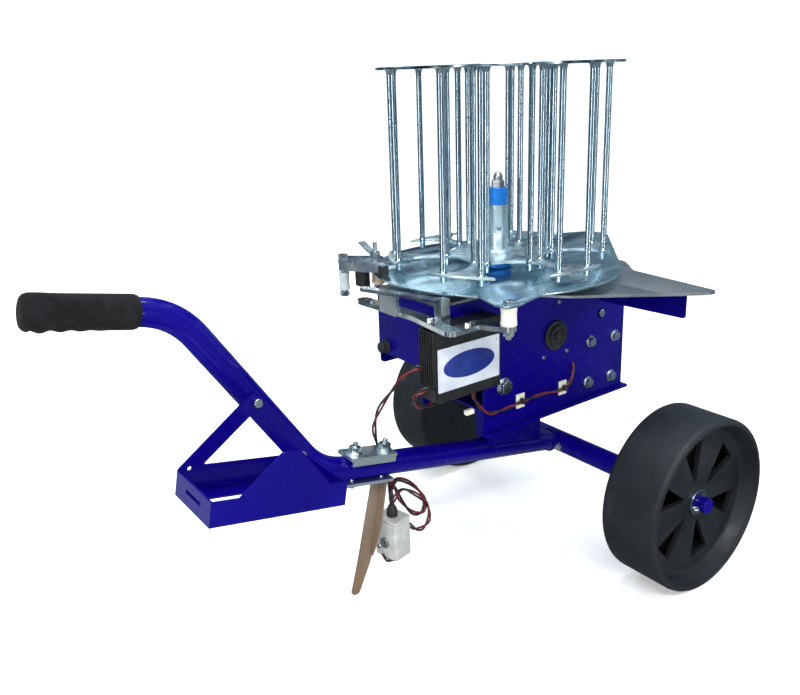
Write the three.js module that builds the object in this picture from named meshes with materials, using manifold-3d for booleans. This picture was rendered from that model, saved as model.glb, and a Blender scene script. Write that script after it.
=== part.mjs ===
// Electric clay-target thrower: a motor-driven throwing head with a six-stack
// carousel magazine, carried on a two-wheel trolley that stands on its wheels and a ground stake.
// Millimetres. +X runs along the drawbar from the handle to the axle, +Y along the axle,
// +Z up. Pieces are drawn from the ground under the middle of the axle; the last lines
// move the origin to the ground under the middle of the whole length.
import * as THREE from "three";
import { mergeVertices } from "three/addons/utils/BufferGeometryUtils.js";
import Module from "manifold-3d";

const wasm = await Module();
wasm.setup();

// ---------- driving dimensions ----------
const GAP = 0.3; // clearance between neighbouring pieces
const DRAWBAR_SLOPE = THREE.MathUtils.degToRad(11.1);

const WHEEL_R = 142;
const WHEEL_WIDTH = 98;
const WHEEL_FACE_Y = 326; // outer face of each wheel from the centre line
const TUBE_R = 19; // drawbar and axle tube
const TUBE_BORE_R = 15.5;
const STUB_R = 12.5;
const AXLE_HALF = 222;

const HANDLE_HEIGHT = 245.7; // above the drawbar axis, square to it
const UPPER_BEND_X = -764;
const HANDLE_END_X = -943;
const BEND_R = 112;

const TRAY_LEFT = -750;
const TRAY_RIGHT = -554;
const TRAY_FLOOR = 6;
const TRAY_RIM = 39;
const TRAY_NEAR_Y = -126;
const TRAY_FAR_Y = -TUBE_R - GAP;
const SHEET = 3;

const STAKE_LEFT = -412; // along the drawbar
const STAKE_RIGHT = -393;
const STAKE_TIP_X = -417;
const STAKE_TIP = -224.5;

const BODY_LEFT = -334;
const BODY_STEP = -250; // the lower part of the housing starts here
const BODY_RIGHT = 81;
const BODY_SIDE_Y = 80;
const BODY_BOTTOM = 250;
const BODY_TOP = 478;
const STEP_Z = 352;

const THROW_PLATE_Z = 478;
const THROW_PLATE_T = 4;
const DECK_Z = 498;
const DECK_T = 3;
const DECK_R = 201;
const SHAFT_X = 42; // throwing arm shaft
const SHAFT_Y = 10;

const HUB_X = -158; // magazine centre
const HUB_Y = -12;
const STACKS = 6;
const STACK_CENTRE_R = 131.4;
const STACK_BORE_R = 57.8;
const ROD_R = 4.7;
const OUTER_ROD_RING = 167;
const OUTER_ROD_HALF_ANGLE = THREE.MathUtils.degToRad(10.2);
const INNER_ROD_RING = 85.8;
const INNER_ROD_HALF_ANGLE = THREE.MathUtils.degToRad(23);
const FIRST_ARM_ANGLE = THREE.MathUtils.degToRad(28.7);
const STAR_Z = 522;
const STAR_T = 4;
const ROD_FOOT_Z = 511;
const TOP_STAR_Z = 814;

// ---------- materials ----------
const paint = (color, roughness, metalness) => ({ color, roughness, metalness });
const BLUE = paint(0x14109c, 0.28, 0.15);
const ZINC = paint(0xb9c3cc, 0.32, 0.9);
const STEEL = paint(0x8d9196, 0.45, 0.9);
const ALLOY = paint(0xc4cdd8, 0.3, 0.9);
const TYRE = paint(0x2a2b2e, 0.7, 0.0);
const FOAM = paint(0x151518, 0.9, 0.0);
const BLACK = paint(0x101012, 0.5, 0.0);
const NYLON = paint(0xe6e2d2, 0.5, 0.0);
const BRIGHT_BLUE = paint(0x1d74c4, 0.35, 0.3);
const LABEL = paint(0xd9dde4, 0.35, 0.0);
const GREY_BOX = paint(0xb4b6b6, 0.5, 0.0);
const RED = paint(0x7a1f1c, 0.5, 0.0);

// ---------- solid helpers ----------
function solid(geometry) {
  const g = geometry.index ? geometry.toNonIndexed() : geometry.clone();
  g.deleteAttribute("normal");
  g.deleteAttribute("uv");
  const merged = mergeVertices(g, 1e-4);
  return new wasm.Manifold(
    new wasm.Mesh({
      numProp: 3,
      vertProperties: merged.attributes.position.array,
      triVerts: new Uint32Array(merged.index.array),
    }),
  );
}

function geometryOf(body) {
  const mesh = body.getMesh();
  const g = new THREE.BufferGeometry();
  g.setAttribute("position", new THREE.BufferAttribute(new Float32Array(mesh.vertProperties), 3));
  g.setIndex(new THREE.BufferAttribute(new Uint32Array(mesh.triVerts), 1));
  const flat = g.toNonIndexed();
  flat.computeVertexNormals();
  return flat;
}

const join = (first, ...rest) => rest.reduce((a, b) => a.add(b), first);
const cut = (first, ...rest) => rest.reduce((a, b) => a.subtract(b), first);

// A block between two corners.
function block(x0, x1, y0, y1, z0, z1) {
  const g = new THREE.BoxGeometry(x1 - x0, y1 - y0, z1 - z0);
  g.translate((x0 + x1) / 2, (y0 + y1) / 2, (z0 + z1) / 2);
  return solid(g);
}

// A cylinder along one axis ("x", "y" or "z") from `from` to `to`, centred on the other two.
function bar(axis, r, from, to, a, b, sides = 24) {
  const g = new THREE.CylinderGeometry(r, r, to - from, sides);
  const mid = (from + to) / 2;
  if (axis === "x") {
    g.rotateZ(-Math.PI / 2);
    g.translate(mid, a, b);
  }
  if (axis === "y") {
    g.translate(a, mid, b);
  }
  if (axis === "z") {
    g.rotateX(Math.PI / 2);
    g.translate(a, b, mid);
  }
  return solid(g);
}

const tubeAlong = (axis, r, bore, from, to, a, b, sides = 24) =>
  cut(bar(axis, r, from, to, a, b, sides), bar(axis, bore, from - 1, to + 1, a, b, sides));

// A closed profile of [radius, height] points turned about +Z.
function turned(profile, sides = 32) {
  const points = profile.map(([r, z]) => new THREE.Vector2(r, z));
  points.push(points[0].clone());
  const g = new THREE.LatheGeometry(points, sides);
  g.rotateX(Math.PI / 2);
  const body = solid(g);
  if (body.volume() > 0) return body;
  return solid(flipped(g));
}

function flipped(g) {
  const index = g.index.array;
  for (let i = 0; i < index.length; i += 3) {
    const second = index[i + 1];
    index[i + 1] = index[i + 2];
    index[i + 2] = second;
  }
  return g;
}

// A polygon whose corners [x, y, radius] are rounded.
function rounded(corners) {
  const shape = new THREE.Shape();
  const n = corners.length;
  corners.forEach(([x, y, r = 0], i) => {
    const here = new THREE.Vector2(x, y);
    const before = new THREE.Vector2(...corners[(i + n - 1) % n].slice(0, 2));
    const after = new THREE.Vector2(...corners[(i + 1) % n].slice(0, 2));
    const arrive = here.clone().add(before.sub(here).setLength(r || 1e-6));
    const leave = here.clone().add(after.sub(here).setLength(r || 1e-6));
    const start = r ? arrive : here;
    if (i === 0) shape.moveTo(start.x, start.y);
    else shape.lineTo(start.x, start.y);
    if (r) shape.quadraticCurveTo(x, y, leave.x, leave.y);
  });
  return shape;
}

// A flat plate lying level: outline in XY, from z up by thickness.
function levelPlate(shape, z, thickness, curves = 6) {
  const g = new THREE.ExtrudeGeometry(shape, { depth: thickness, bevelEnabled: false, curveSegments: curves });
  g.translate(0, 0, z);
  return solid(g);
}

// A flat plate standing along X: outline in XZ, filling y0 to y1.
function sidePlate(shape, y0, y1, curves = 6) {
  const g = new THREE.ExtrudeGeometry(shape, { depth: y1 - y0, bevelEnabled: false, curveSegments: curves });
  g.rotateX(Math.PI / 2);
  g.translate(0, y1, 0);
  return solid(g);
}

// A flat plate standing along Y: outline in YZ, filling x0 to x1.
function endPlate(shape, x0, x1, curves = 6) {
  const g = new THREE.ExtrudeGeometry(shape, { depth: x1 - x0, bevelEnabled: false, curveSegments: curves });
  g.rotateX(Math.PI / 2);
  g.rotateZ(Math.PI / 2);
  g.translate(x0, 0, 0);
  return solid(g);
}

// A path through given points; each point becomes one ring of a sweep.
class RingPath extends THREE.Curve {
  constructor(points) {
    super();
    this.points = points;
  }

  getPoint(t, target = new THREE.Vector3()) {
    const last = this.points.length - 1;
    const i = Math.min(Math.floor(t * last + 1e-9), last - 1);
    return target.lerpVectors(this.points[i], this.points[i + 1], t * last - i);
  }

  // Equal steps of the parameter go from point to point, whatever their spacing.
  getUtoTmapping(u) {
    return u;
  }
}

function polygon(r, sides, PathType) {
  const corners = [];
  for (let i = 0; i < sides; i += 1) {
    const a = (2 * Math.PI * (i + 0.5)) / sides;
    corners.push(new THREE.Vector2(r * Math.cos(a), r * Math.sin(a)));
  }
  return new PathType(corners);
}

// A round rod, or a tube when it has a bore, swept through points.
function swept(points, r, bore, sides) {
  const ring = polygon(r, sides, THREE.Shape);
  if (bore > 0) ring.holes.push(polygon(bore, sides, THREE.Path));
  const extrudePath = new RingPath(points);
  return solid(new THREE.ExtrudeGeometry(ring, { steps: points.length - 1, extrudePath }));
}

// A cable eased through a few points.
function cable(points, r, steps, sides = 8) {
  const curve = new THREE.CatmullRomCurve3(points.map((p) => new THREE.Vector3(...p)));
  return swept(curve.getSpacedPoints(steps), r, 0, sides);
}

function polar(radius, angle) {
  return [HUB_X + radius * Math.cos(angle), HUB_Y + radius * Math.sin(angle)];
}

// ---------- assembly ----------
const group = new THREE.Group();

function add(name, body, look) {
  const material = new THREE.MeshStandardMaterial(look);
  const mesh = new THREE.Mesh(geometryOf(body), material);
  mesh.name = name;
  group.add(mesh);
}

// Trolley pieces are drawn level about the axle, then tipped to the drawbar's slope.
const tipped = (body) => body.rotate([0, THREE.MathUtils.radToDeg(DRAWBAR_SLOPE), 0]).translate([0, 0, WHEEL_R]);

// ---------- trolley: drawbar, handle, grip ----------
function handlePath() {
  const leg = BEND_R * Math.tan(Math.PI / 8);
  const diagonal = leg * Math.SQRT1_2;
  const at = (x, z) => new THREE.Vector3(x, 0, z);
  const lowerBend = UPPER_BEND_X + HANDLE_HEIGHT;
  const bend = (from, corner, to) => new THREE.QuadraticBezierCurve3(from, corner, to).getSpacedPoints(6);
  const upper = bend(
    at(UPPER_BEND_X - leg, HANDLE_HEIGHT),
    at(UPPER_BEND_X, HANDLE_HEIGHT),
    at(UPPER_BEND_X + diagonal, HANDLE_HEIGHT - diagonal),
  );
  const lower = bend(at(lowerBend - diagonal, diagonal), at(lowerBend, 0), at(lowerBend + leg, 0));
  return [at(HANDLE_END_X, HANDLE_HEIGHT), ...upper, ...lower, at(0, 0)];
}

const TRAY_BOLTS = [
  [-645, 124],
  [-566, 41],
];
const CLAMP_BOLT_X = [-460, -404];
const CLAMP_BOLT_Y = -4;
const BOLT_R = 4;

function drawbar() {
  let tube = swept(handlePath(), TUBE_R, TUBE_BORE_R, 20);
  tube = cut(tube, bar("y", TUBE_R + GAP, -40, 40, 0, 0, 32));
  TRAY_BOLTS.forEach(([x, z]) => {
    tube = cut(tube, bar("y", BOLT_R + GAP, -30, 30, x, z, 16));
  });
  CLAMP_BOLT_X.forEach((x) => {
    tube = cut(tube, bar("z", BOLT_R + GAP, -30, 30, x, CLAMP_BOLT_Y, 16));
  });
  return tube;
}

function grip() {
  const length = 136;
  const bore = TUBE_R + GAP;
  const outer = 22.6;
  const profile = [
    [bore, 0],
    [bore + 2.2, 0],
    [outer, 5],
    [outer, length - 9],
    [outer - 1.2, length - 3],
    [outer - 4, length + 3],
    [0, length + 4],
    [0, length - 2],
    [bore, length - 2],
  ];
  return turned(profile, 32)
    .rotate([0, -90, 0])
    .translate([HANDLE_END_X + length - 2 - GAP, 0, HANDLE_HEIGHT]);
}

add("drawbar_handle_tube", tipped(drawbar()), BLUE);
add("handle_grip", tipped(grip()), FOAM);

// ---------- trolley: battery tray ----------
function gussetWall() {
  const outline = rounded([
    [TRAY_LEFT, TRAY_FLOOR],
    [TRAY_LEFT, TRAY_RIM + 2, 3],
    [-664, 128, 6],
    [-648, 141, 10],
    [-629, 124, 10],
    [TRAY_RIGHT, TRAY_RIM + 14, 8],
    [TRAY_RIGHT, TRAY_FLOOR],
  ]);
  const window = rounded([
    [-716, 44, 6],
    [-653, 106, 3],
    [-592, 43, 6],
  ]);
  let wall = sidePlate(outline, TRAY_FAR_Y - SHEET, TRAY_FAR_Y);
  wall = cut(wall, sidePlate(window, TRAY_FAR_Y - 10, TRAY_FAR_Y + 10));
  return cut(wall, bar("y", 3, TRAY_FAR_Y - 10, TRAY_FAR_Y + 10, -734, 41, 16));
}

function batteryTray() {
  const floor = block(TRAY_LEFT, TRAY_RIGHT, TRAY_NEAR_Y, TRAY_FAR_Y, TRAY_FLOOR, TRAY_FLOOR + SHEET);
  const floorWindow = block(-722, -590, -96, -48, TRAY_FLOOR - 1, TRAY_FLOOR + SHEET + 1);
  const nearWall = sidePlate(
    rounded([
      [TRAY_LEFT, TRAY_FLOOR],
      [TRAY_LEFT, TRAY_RIM, 3],
      [-712, TRAY_RIM],
      [-658, 92, 4],
      [-632, 92, 4],
      [-581, TRAY_RIM],
      [TRAY_RIGHT, TRAY_RIM, 3],
      [TRAY_RIGHT, TRAY_FLOOR],
    ]),
    TRAY_NEAR_Y,
    TRAY_NEAR_Y + SHEET,
  );
  let leftWall = block(TRAY_LEFT, TRAY_LEFT + SHEET, TRAY_NEAR_Y, TRAY_FAR_Y, TRAY_FLOOR, TRAY_RIM);
  leftWall = cut(leftWall, block(TRAY_LEFT - 1, TRAY_LEFT + SHEET + 1, -96, -52, 22, 27));
  const rightWall = block(TRAY_RIGHT - SHEET, TRAY_RIGHT, TRAY_NEAR_Y, TRAY_FAR_Y, TRAY_FLOOR, TRAY_RIM);
  let tray = join(cut(floor, floorWindow), nearWall, leftWall, rightWall, gussetWall());
  TRAY_BOLTS.forEach(([x, z]) => {
    tray = cut(tray, bar("y", BOLT_R + GAP, TRAY_FAR_Y - 10, TRAY_FAR_Y + 10, x, z, 16));
  });
  return tray;
}

// A bolt along Y with a domed head on the near side and a nut on the far side of the tube.
function crossBolt(x, z) {
  const head = bar("y", 6.5, TRAY_FAR_Y - SHEET - GAP - 5, TRAY_FAR_Y - SHEET - GAP, x, z, 20);
  const shank = bar("y", BOLT_R, TRAY_FAR_Y - SHEET - GAP - 1, TUBE_R + 9, x, z, 16);
  const nut = bar("y", 7.5, TUBE_R + GAP, TUBE_R + GAP + 6.5, x, z, 6);
  return join(head, shank, nut);
}

add("battery_tray", tipped(batteryTray()), BLUE);
add("tray_bolt_upper", tipped(crossBolt(...TRAY_BOLTS[0])), ZINC);
add("tray_bolt_lower", tipped(crossBolt(...TRAY_BOLTS[1])), ZINC);

// ---------- trolley: stake and its clamp ----------
const PLATE_T = 5;
const CLAMP_TOP = TUBE_R + GAP;
const CLAMP_UNDER = -TUBE_R - GAP - PLATE_T;

// Flat plate with the two bolt holes.
function clampPlate(x0, x1, y0, y1, z0) {
  const shape = rounded([
    [x0, y0, 3],
    [x1, y0, 3],
    [x1, y1, 3],
    [x0, y1, 3],
  ]);
  let plate = levelPlate(shape, z0, PLATE_T);
  CLAMP_BOLT_X.forEach((x) => {
    plate = cut(plate, bar("z", BOLT_R + GAP, z0 - 1, z0 + PLATE_T + 1, x, CLAMP_BOLT_Y, 16));
  });
  return plate;
}

// The upper plate has its near edge folded down beside the tube.
function upperClampPlate() {
  const flange = block(-474, -394, -24, -20.5, 11, CLAMP_TOP + PLATE_T - 2);
  return join(clampPlate(-477, -391, -24, 18, CLAMP_TOP), flange);
}

// A through bolt with its washer and nut tightened on top.
function clampBolt(x) {
  const top = CLAMP_TOP + PLATE_T + GAP;
  const under = CLAMP_UNDER - GAP;
  const shank = bar("z", BOLT_R, under - 3, top + 17, x, CLAMP_BOLT_Y, 16);
  const head = bar("z", 7, under - 6, under, x, CLAMP_BOLT_Y, 6);
  const washer = bar("z", 12.5, top, top + 2, x, CLAMP_BOLT_Y, 24);
  const nut = bar("z", 10, top + 1, top + 11, x, CLAMP_BOLT_Y, 6);
  return join(shank, head, washer, nut);
}

// The stake is an angle iron with a tapered, rounded point, hung under the lower plate.
function stake() {
  const top = CLAMP_UNDER - GAP;
  const face = rounded([
    [STAKE_LEFT, top],
    [STAKE_RIGHT, top],
    [STAKE_RIGHT, STAKE_TIP + 64, 20],
    [STAKE_TIP_X + 7, STAKE_TIP, 6],
    [STAKE_TIP_X - 7, STAKE_TIP, 6],
    [STAKE_LEFT - 7, STAKE_TIP + 56, 20],
  ]);
  const rib = rounded([
    [5.5, top],
    [-9, top],
    [-9, STAKE_TIP + 105, 20],
    [3, STAKE_TIP + 64, 2],
    [5.5, STAKE_TIP + 64],
  ]);
  return join(sidePlate(face, 5, 9), endPlate(rib, STAKE_RIGHT - 3.5, STAKE_RIGHT));
}

add("clamp_plate_upper", tipped(upperClampPlate()), ZINC);
add("clamp_plate_lower", tipped(clampPlate(-477, -388, -19, 20, CLAMP_UNDER)), ZINC);
["front", "rear"].forEach((side, i) => {
  add(`clamp_bolt_${side}`, tipped(clampBolt(CLAMP_BOLT_X[i])), ZINC);
});
add("ground_stake", tipped(stake()), STEEL);

// ---------- trolley: axle and wheels ----------
const PIN_INSET = 12; // split pin behind the wheel's outer face
const HUB_FACE = 24; // hub face behind the wheel's outer face

function axleTube() {
  const tube = tubeAlong("y", TUBE_R, TUBE_BORE_R, -AXLE_HALF, AXLE_HALF, 0, WHEEL_R, 32);
  return cut(tube, bar("x", BOLT_R + GAP, -30, 30, -29, WHEEL_R, 16));
}

function axleBolt() {
  const y = -29;
  const shank = bar("x", BOLT_R, -TUBE_R - 3, TUBE_R + 10, y, WHEEL_R, 16);
  const head = bar("x", 8, -TUBE_R - GAP - 6, -TUBE_R - GAP, y, WHEEL_R, 6);
  const nut = bar("x", 8, TUBE_R + GAP, TUBE_R + GAP + 7, y, WHEEL_R, 6);
  return join(shank, head, nut);
}

// Everything at a wheel is drawn for the +Y side and turned round for the other one.
const bothSides = { far: (body) => body, near: (body) => body.rotate([0, 0, 180]) };

function stub() {
  const inner = bar("y", TUBE_BORE_R - GAP, 165, AXLE_HALF, 0, WHEEL_R);
  const outer = bar("y", STUB_R, AXLE_HALF - 1, WHEEL_FACE_Y - 3, 0, WHEEL_R);
  return cut(join(inner, outer), bar("x", 2, -30, 30, WHEEL_FACE_Y - PIN_INSET, WHEEL_R, 12));
}

function wheelProfile() {
  const bore = STUB_R + GAP;
  const w = WHEEL_WIDTH;
  return [
    [WHEEL_R - 8, 0],
    [WHEEL_R - 2.4, 3],
    [WHEEL_R, 10],
    [WHEEL_R, w - 10],
    [WHEEL_R - 2.4, w - 3],
    [WHEEL_R - 8, w],
    [WHEEL_R - 18, HUB_FACE + 10],
    [27, HUB_FACE + 10],
    [24, w - 4],
    [bore, w - 4],
    [bore, HUB_FACE],
    [25, HUB_FACE],
    [27, HUB_FACE + 2],
    [WHEEL_R - 19, HUB_FACE + 2],
    [WHEEL_R - 11, 2],
  ];
}

// The back of the hollow between rim and hub is closed by a thin web.
function wheelBack() {
  const w = WHEEL_WIDTH;
  const rimThere = WHEEL_R - 8;
  return turned([
    [20, w - 12],
    [rimThere, w - 12],
    [rimThere, w - 7],
    [20, w - 7],
  ], 36);
}

function wheelWindow(angle) {
  const point = (r, a) => [r * Math.cos(angle + a), r * Math.sin(angle + a)];
  const shape = rounded([
    [...point(34, -0.05), 1.5],
    [...point(104, -0.2), 3],
    [...point(104, 0.2), 3],
    [...point(34, 0.05), 1.5],
  ]);
  return levelPlate(shape, HUB_FACE - 4, 20, 3);
}

function wheel() {
  let body = join(turned(wheelProfile(), 36), wheelBack());
  for (let i = 0; i < 6; i += 1) {
    body = cut(body, wheelWindow((i * Math.PI) / 3 + 0.35));
  }
  return body.rotate([90, 0, 0]).translate([0, WHEEL_FACE_Y, WHEEL_R]);
}

function hubWasher() {
  const outer = WHEEL_FACE_Y - HUB_FACE;
  return tubeAlong("y", 21, STUB_R + GAP, outer + GAP, outer + 3.5, 0, WHEEL_R, 32);
}

function splitPin() {
  const y = WHEEL_FACE_Y - PIN_INSET;
  const leg = bar("x", 1.6, -17, 18, y, WHEEL_R, 10);
  const eye = solid(new THREE.TorusGeometry(4.4, 1.5, 6, 14).translate(22, y, WHEEL_R));
  return join(leg, eye);
}

add("axle_tube", axleTube(), BLUE);
add("axle_bolt", axleBolt(), ZINC);
Object.entries(bothSides).forEach(([side, place]) => {
  add(`axle_stub_${side}`, place(stub()), BLUE);
  add(`wheel_${side}`, place(wheel()), TYRE);
  add(`hub_washer_${side}`, place(hubWasher()), ZINC);
  add(`split_pin_${side}`, place(splitPin()), ZINC);
});

// ---------- pedestal between the drawbar and the housing ----------
const drawbarZ = (x) => WHEEL_R - x * Math.tan(DRAWBAR_SLOPE);

function pedestal() {
  const left = -182;
  const right = -58;
  const top = BODY_BOTTOM - GAP;
  const half = 17;
  const outline = rounded([
    [left, drawbarZ(left) + 10],
    [right, drawbarZ(right) + 10],
    [right, top],
    [left, top],
  ]);
  const hollow = block(left + 5, right + 1, 5 - half, half - 5, 0, top - 6);
  const channel = cut(sidePlate(outline, -half, half), hollow);
  const clearance = tipped(bar("x", TUBE_R + GAP, -400, 40, 0, 0, 40));
  return cut(channel, clearance);
}

add("pedestal_bracket", pedestal(), BLUE);

// ---------- housing ----------
const WALL = 4;
const SIDE_BOLTS = [
  [-6, 355],
  [57, 352],
  [-10, 281],
  [50, 279],
];
const PIVOT = [-210, 326];
const BOSS = [-93, 385];
const BOSS_BARREL_R = 15;
const MOTOR_R = 38;
const MOTOR_Y = 4;
const MOTOR_Z = 366;

function sideWall() {
  const outline = rounded([
    [BODY_STEP, BODY_BOTTOM + WALL + GAP, 2],
    [BODY_RIGHT, BODY_BOTTOM + WALL + GAP, 2],
    [BODY_RIGHT, BODY_TOP - GAP, 2],
    [BODY_LEFT, BODY_TOP - GAP, 2],
    [BODY_LEFT, STEP_Z, 8],
    [BODY_STEP, STEP_Z, 8],
  ]);
  return sidePlate(outline, -BODY_SIDE_Y, -BODY_SIDE_Y + WALL);
}

function nearWall() {
  let wall = sideWall();
  SIDE_BOLTS.forEach(([x, z]) => {
    wall = cut(wall, bar("y", BOLT_R + GAP, -BODY_SIDE_Y - 5, -BODY_SIDE_Y + 8, x, z, 16));
  });
  wall = cut(wall, bar("y", 8 + GAP, -BODY_SIDE_Y - 5, -BODY_SIDE_Y + 8, ...PIVOT, 20));
  wall = cut(wall, bar("y", BOSS_BARREL_R + GAP, -BODY_SIDE_Y - 5, -BODY_SIDE_Y + 8, ...BOSS, 28));
  return cut(wall, bar("y", 9, -BODY_SIDE_Y - 5, -BODY_SIDE_Y + 8, 20, 400, 20));
}

const farWall = () => sideWall().translate([0, 2 * BODY_SIDE_Y - WALL, 0]);

// The base is cut back at the front, leaving a strip under the near side.
function basePlate() {
  const shape = rounded([
    [BODY_STEP, -BODY_SIDE_Y - 9, 3],
    [BODY_RIGHT + 9, -BODY_SIDE_Y - 9, 3],
    [BODY_RIGHT + 9, BODY_SIDE_Y + 9, 3],
    [-190, BODY_SIDE_Y + 9, 3],
    [-190, -70, 6],
    [BODY_STEP, -70, 3],
  ]);
  const inner = BODY_SIDE_Y - WALL - GAP;
  const rear = block(BODY_RIGHT - WALL, BODY_RIGHT, -inner, inner, BODY_BOTTOM + 1, BODY_TOP - GAP);
  return join(levelPlate(shape, BODY_BOTTOM, WALL), rear);
}

function frontPlate() {
  const inner = BODY_SIDE_Y - WALL - GAP;
  const outline = rounded([
    [-inner, 374, 16],
    [inner, 374, 16],
    [inner, BODY_TOP - GAP],
    [-inner, BODY_TOP - GAP],
  ]);
  return endPlate(outline, BODY_LEFT - WALL, BODY_LEFT);
}

function sideBolt([x, z]) {
  const face = -BODY_SIDE_Y - GAP;
  const washer = bar("y", 10.5, face - 1.6, face, x, z, 20);
  const head = bar("y", 8, face - 8, face - 1, x, z, 6);
  return join(washer, head, bar("y", BOLT_R, face - 1, face + 14, x, z, 16));
}

function pivotBolt() {
  const face = -BODY_SIDE_Y - GAP;
  const [x, z] = PIVOT;
  const washer = bar("y", 14.5, face - 2.5, face, x, z, 28);
  const head = bar("y", 11.5, face - 11, face - 2, x, z, 6);
  return join(washer, head, bar("y", 8, face - 2, face + 22, x, z, 20));
}

// Round cover plugged into the near side.
function sideBoss() {
  const face = -BODY_SIDE_Y - GAP;
  const [x, z] = BOSS;
  const rim = bar("y", 25, face - 4, face, x, z, 32);
  const dome = bar("y", 19, face - 8, face - 3, x, z, 32);
  const barrel = bar("y", BOSS_BARREL_R, face - 1, face + 10, x, z, 28);
  const hollow = bar("y", 11, face - 2, face + 11, x, z, 24);
  return cut(join(rim, dome, barrel), hollow);
}

add("housing_near_side", nearWall(), BLUE);
add("housing_far_side", farWall(), BLUE);
add("housing_base_and_rear", basePlate(), BLUE);
add("housing_front_plate", frontPlate(), BLUE);
["upper_front", "upper_rear", "lower_front", "lower_rear"].forEach((place, i) => {
  add(`side_bolt_${place}`, sideBolt(SIDE_BOLTS[i]), ZINC);
});
add("pivot_bolt", pivotBolt(), ZINC);
add("side_boss", sideBoss(), BLACK);

// ---------- throwing plate with its wing ----------
function throwPlate() {
  const outline = rounded([
    [BODY_LEFT + GAP, 78, 6],
    [BODY_LEFT + GAP, -78, 6],
    [-215, -78, 6],
    [-165, -162, 20],
    [0, -293, 8],
    [22, -296, 10],
    [37, -130, 6],
    [BODY_RIGHT, -78, 10],
    [BODY_RIGHT, 78, 10],
  ]);
  const plate = levelPlate(outline, THROW_PLATE_Z, THROW_PLATE_T);
  return cut(plate, bar("z", 13, THROW_PLATE_Z - 1, THROW_PLATE_Z + 6, SHAFT_X, SHAFT_Y, 28));
}

function wingFin() {
  const outline = rounded([
    [-246, THROW_PLATE_Z - GAP],
    [-246, 428, 4],
    [-BODY_SIDE_Y - GAP, 423, 2],
    [-BODY_SIDE_Y - GAP, THROW_PLATE_Z - GAP],
  ]);
  return endPlate(outline, 16, 20);
}

add("throwing_plate", throwPlate(), STEEL);
add("wing_fin", wingFin(), BLUE);

// ---------- drive: motor, gearbox, shaft, arm, spring ----------
const DRIVE_Z = 372;
const GEARBOX_LEFT = -150;

function motor() {
  const can = bar("x", MOTOR_R, -248, GEARBOX_LEFT, MOTOR_Y, MOTOR_Z, 36);
  const cap = bar("x", MOTOR_R - 4, -260, -247, MOTOR_Y, MOTOR_Z, 36);
  return join(can, cap);
}

function gearbox() {
  const y = SHAFT_Y;
  const box = block(GEARBOX_LEFT + GAP, SHAFT_X + 34, y - 42, y + 42, DRIVE_Z - 44, DRIVE_Z + 40);
  const neck = bar("z", 26, DRIVE_Z + 39, 455, SHAFT_X, y, 32);
  const foot = block(-120, SHAFT_X + 30, y - 46, y + 46, BODY_BOTTOM + WALL + GAP, BODY_BOTTOM + WALL + 10);
  const leg = block(-110, SHAFT_X + 20, y - 34, y + 34, BODY_BOTTOM + WALL + 9, DRIVE_Z - 43);
  const bore = bar("z", 10 + GAP, DRIVE_Z, 460, SHAFT_X, y, 24);
  return cut(join(box, neck, foot, leg), bore);
}

const CRANK_Z = 457;
const CRANK_PIN = 24; // from the shaft

// Shaft and crank turn as one piece inside the housing.
function armShaft() {
  const shape = rounded([
    [SHAFT_X - 16, SHAFT_Y - 16, 10],
    [SHAFT_X + 16, SHAFT_Y - 16, 10],
    [SHAFT_X + 7, SHAFT_Y + CRANK_PIN + 7, 6],
    [SHAFT_X - 7, SHAFT_Y + CRANK_PIN + 7, 6],
  ]);
  const plate = levelPlate(shape, CRANK_Z, 8);
  const pin = bar("z", 4, CRANK_Z + 7, CRANK_Z + 18, SHAFT_X, SHAFT_Y + CRANK_PIN, 16);
  const shaft = bar("z", 10, DRIVE_Z + GAP, ARM_Z - GAP, SHAFT_X, SHAFT_Y, 24);
  return join(shaft, plate, pin);
}

const ARM_ANGLE = THREE.MathUtils.degToRad(141);
const ARM_LENGTH = 262;
const ARM_Z = 486;
const ARM_EDGE = 11; // the edge that carries the rubber strip

function throwingArm() {
  const outline = rounded([
    [-18, -ARM_EDGE, 8],
    [ARM_LENGTH, -ARM_EDGE, 3],
    [ARM_LENGTH, 9, 5],
    [20, 16, 10],
    [-18, 14, 10],
  ]);
  return levelPlate(outline, 0, 5)
    .rotate([0, 0, THREE.MathUtils.radToDeg(ARM_ANGLE)])
    .translate([SHAFT_X, SHAFT_Y, ARM_Z]);
}

function armRubber() {
  return block(50, ARM_LENGTH - 4, -ARM_EDGE - 4, -ARM_EDGE - GAP, 0.3, 4.7)
    .rotate([0, 0, THREE.MathUtils.radToDeg(ARM_ANGLE)])
    .translate([SHAFT_X, SHAFT_Y, ARM_Z]);
}

// The throwing spring: a coiled wire with a hook at each end.
function mainSpring() {
  const from = -205;
  const to = SHAFT_X - 22;
  const y = SHAFT_Y + 52;
  const z = 440;
  const turns = 9;
  const perTurn = 8;
  const points = [[from, y, z], [from + 12, y, z]];
  const coilLength = to - from - 40;
  for (let i = 0; i <= turns * perTurn; i += 1) {
    const a = (i / perTurn) * 2 * Math.PI;
    points.push([from + 20 + (coilLength * i) / (turns * perTurn), y + 11 * Math.sin(a), z + 11 * Math.cos(a)]);
  }
  points.push([to - 8, y, z], [to, y, z]);
  return swept(points.map((p) => new THREE.Vector3(...p)), 2.2, 0, 5);
}

add("drive_motor", motor(), BLACK);
add("gearbox", gearbox(), ALLOY);
add("arm_shaft_and_crank", armShaft(), STEEL);
add("throwing_arm", throwingArm(), ALLOY);
add("arm_rubber", armRubber(), BLACK);
add("throwing_spring", mainSpring(), STEEL);

// ---------- deck under the magazine ----------
const LUG = [-300, -186];
const ROLLER_FRONT = [-365, 130];
const ROLLER_REAR = [-318, 100];
const DECK_POSTS = [
  [-262, -62],
  [-262, 62],
];

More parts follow.
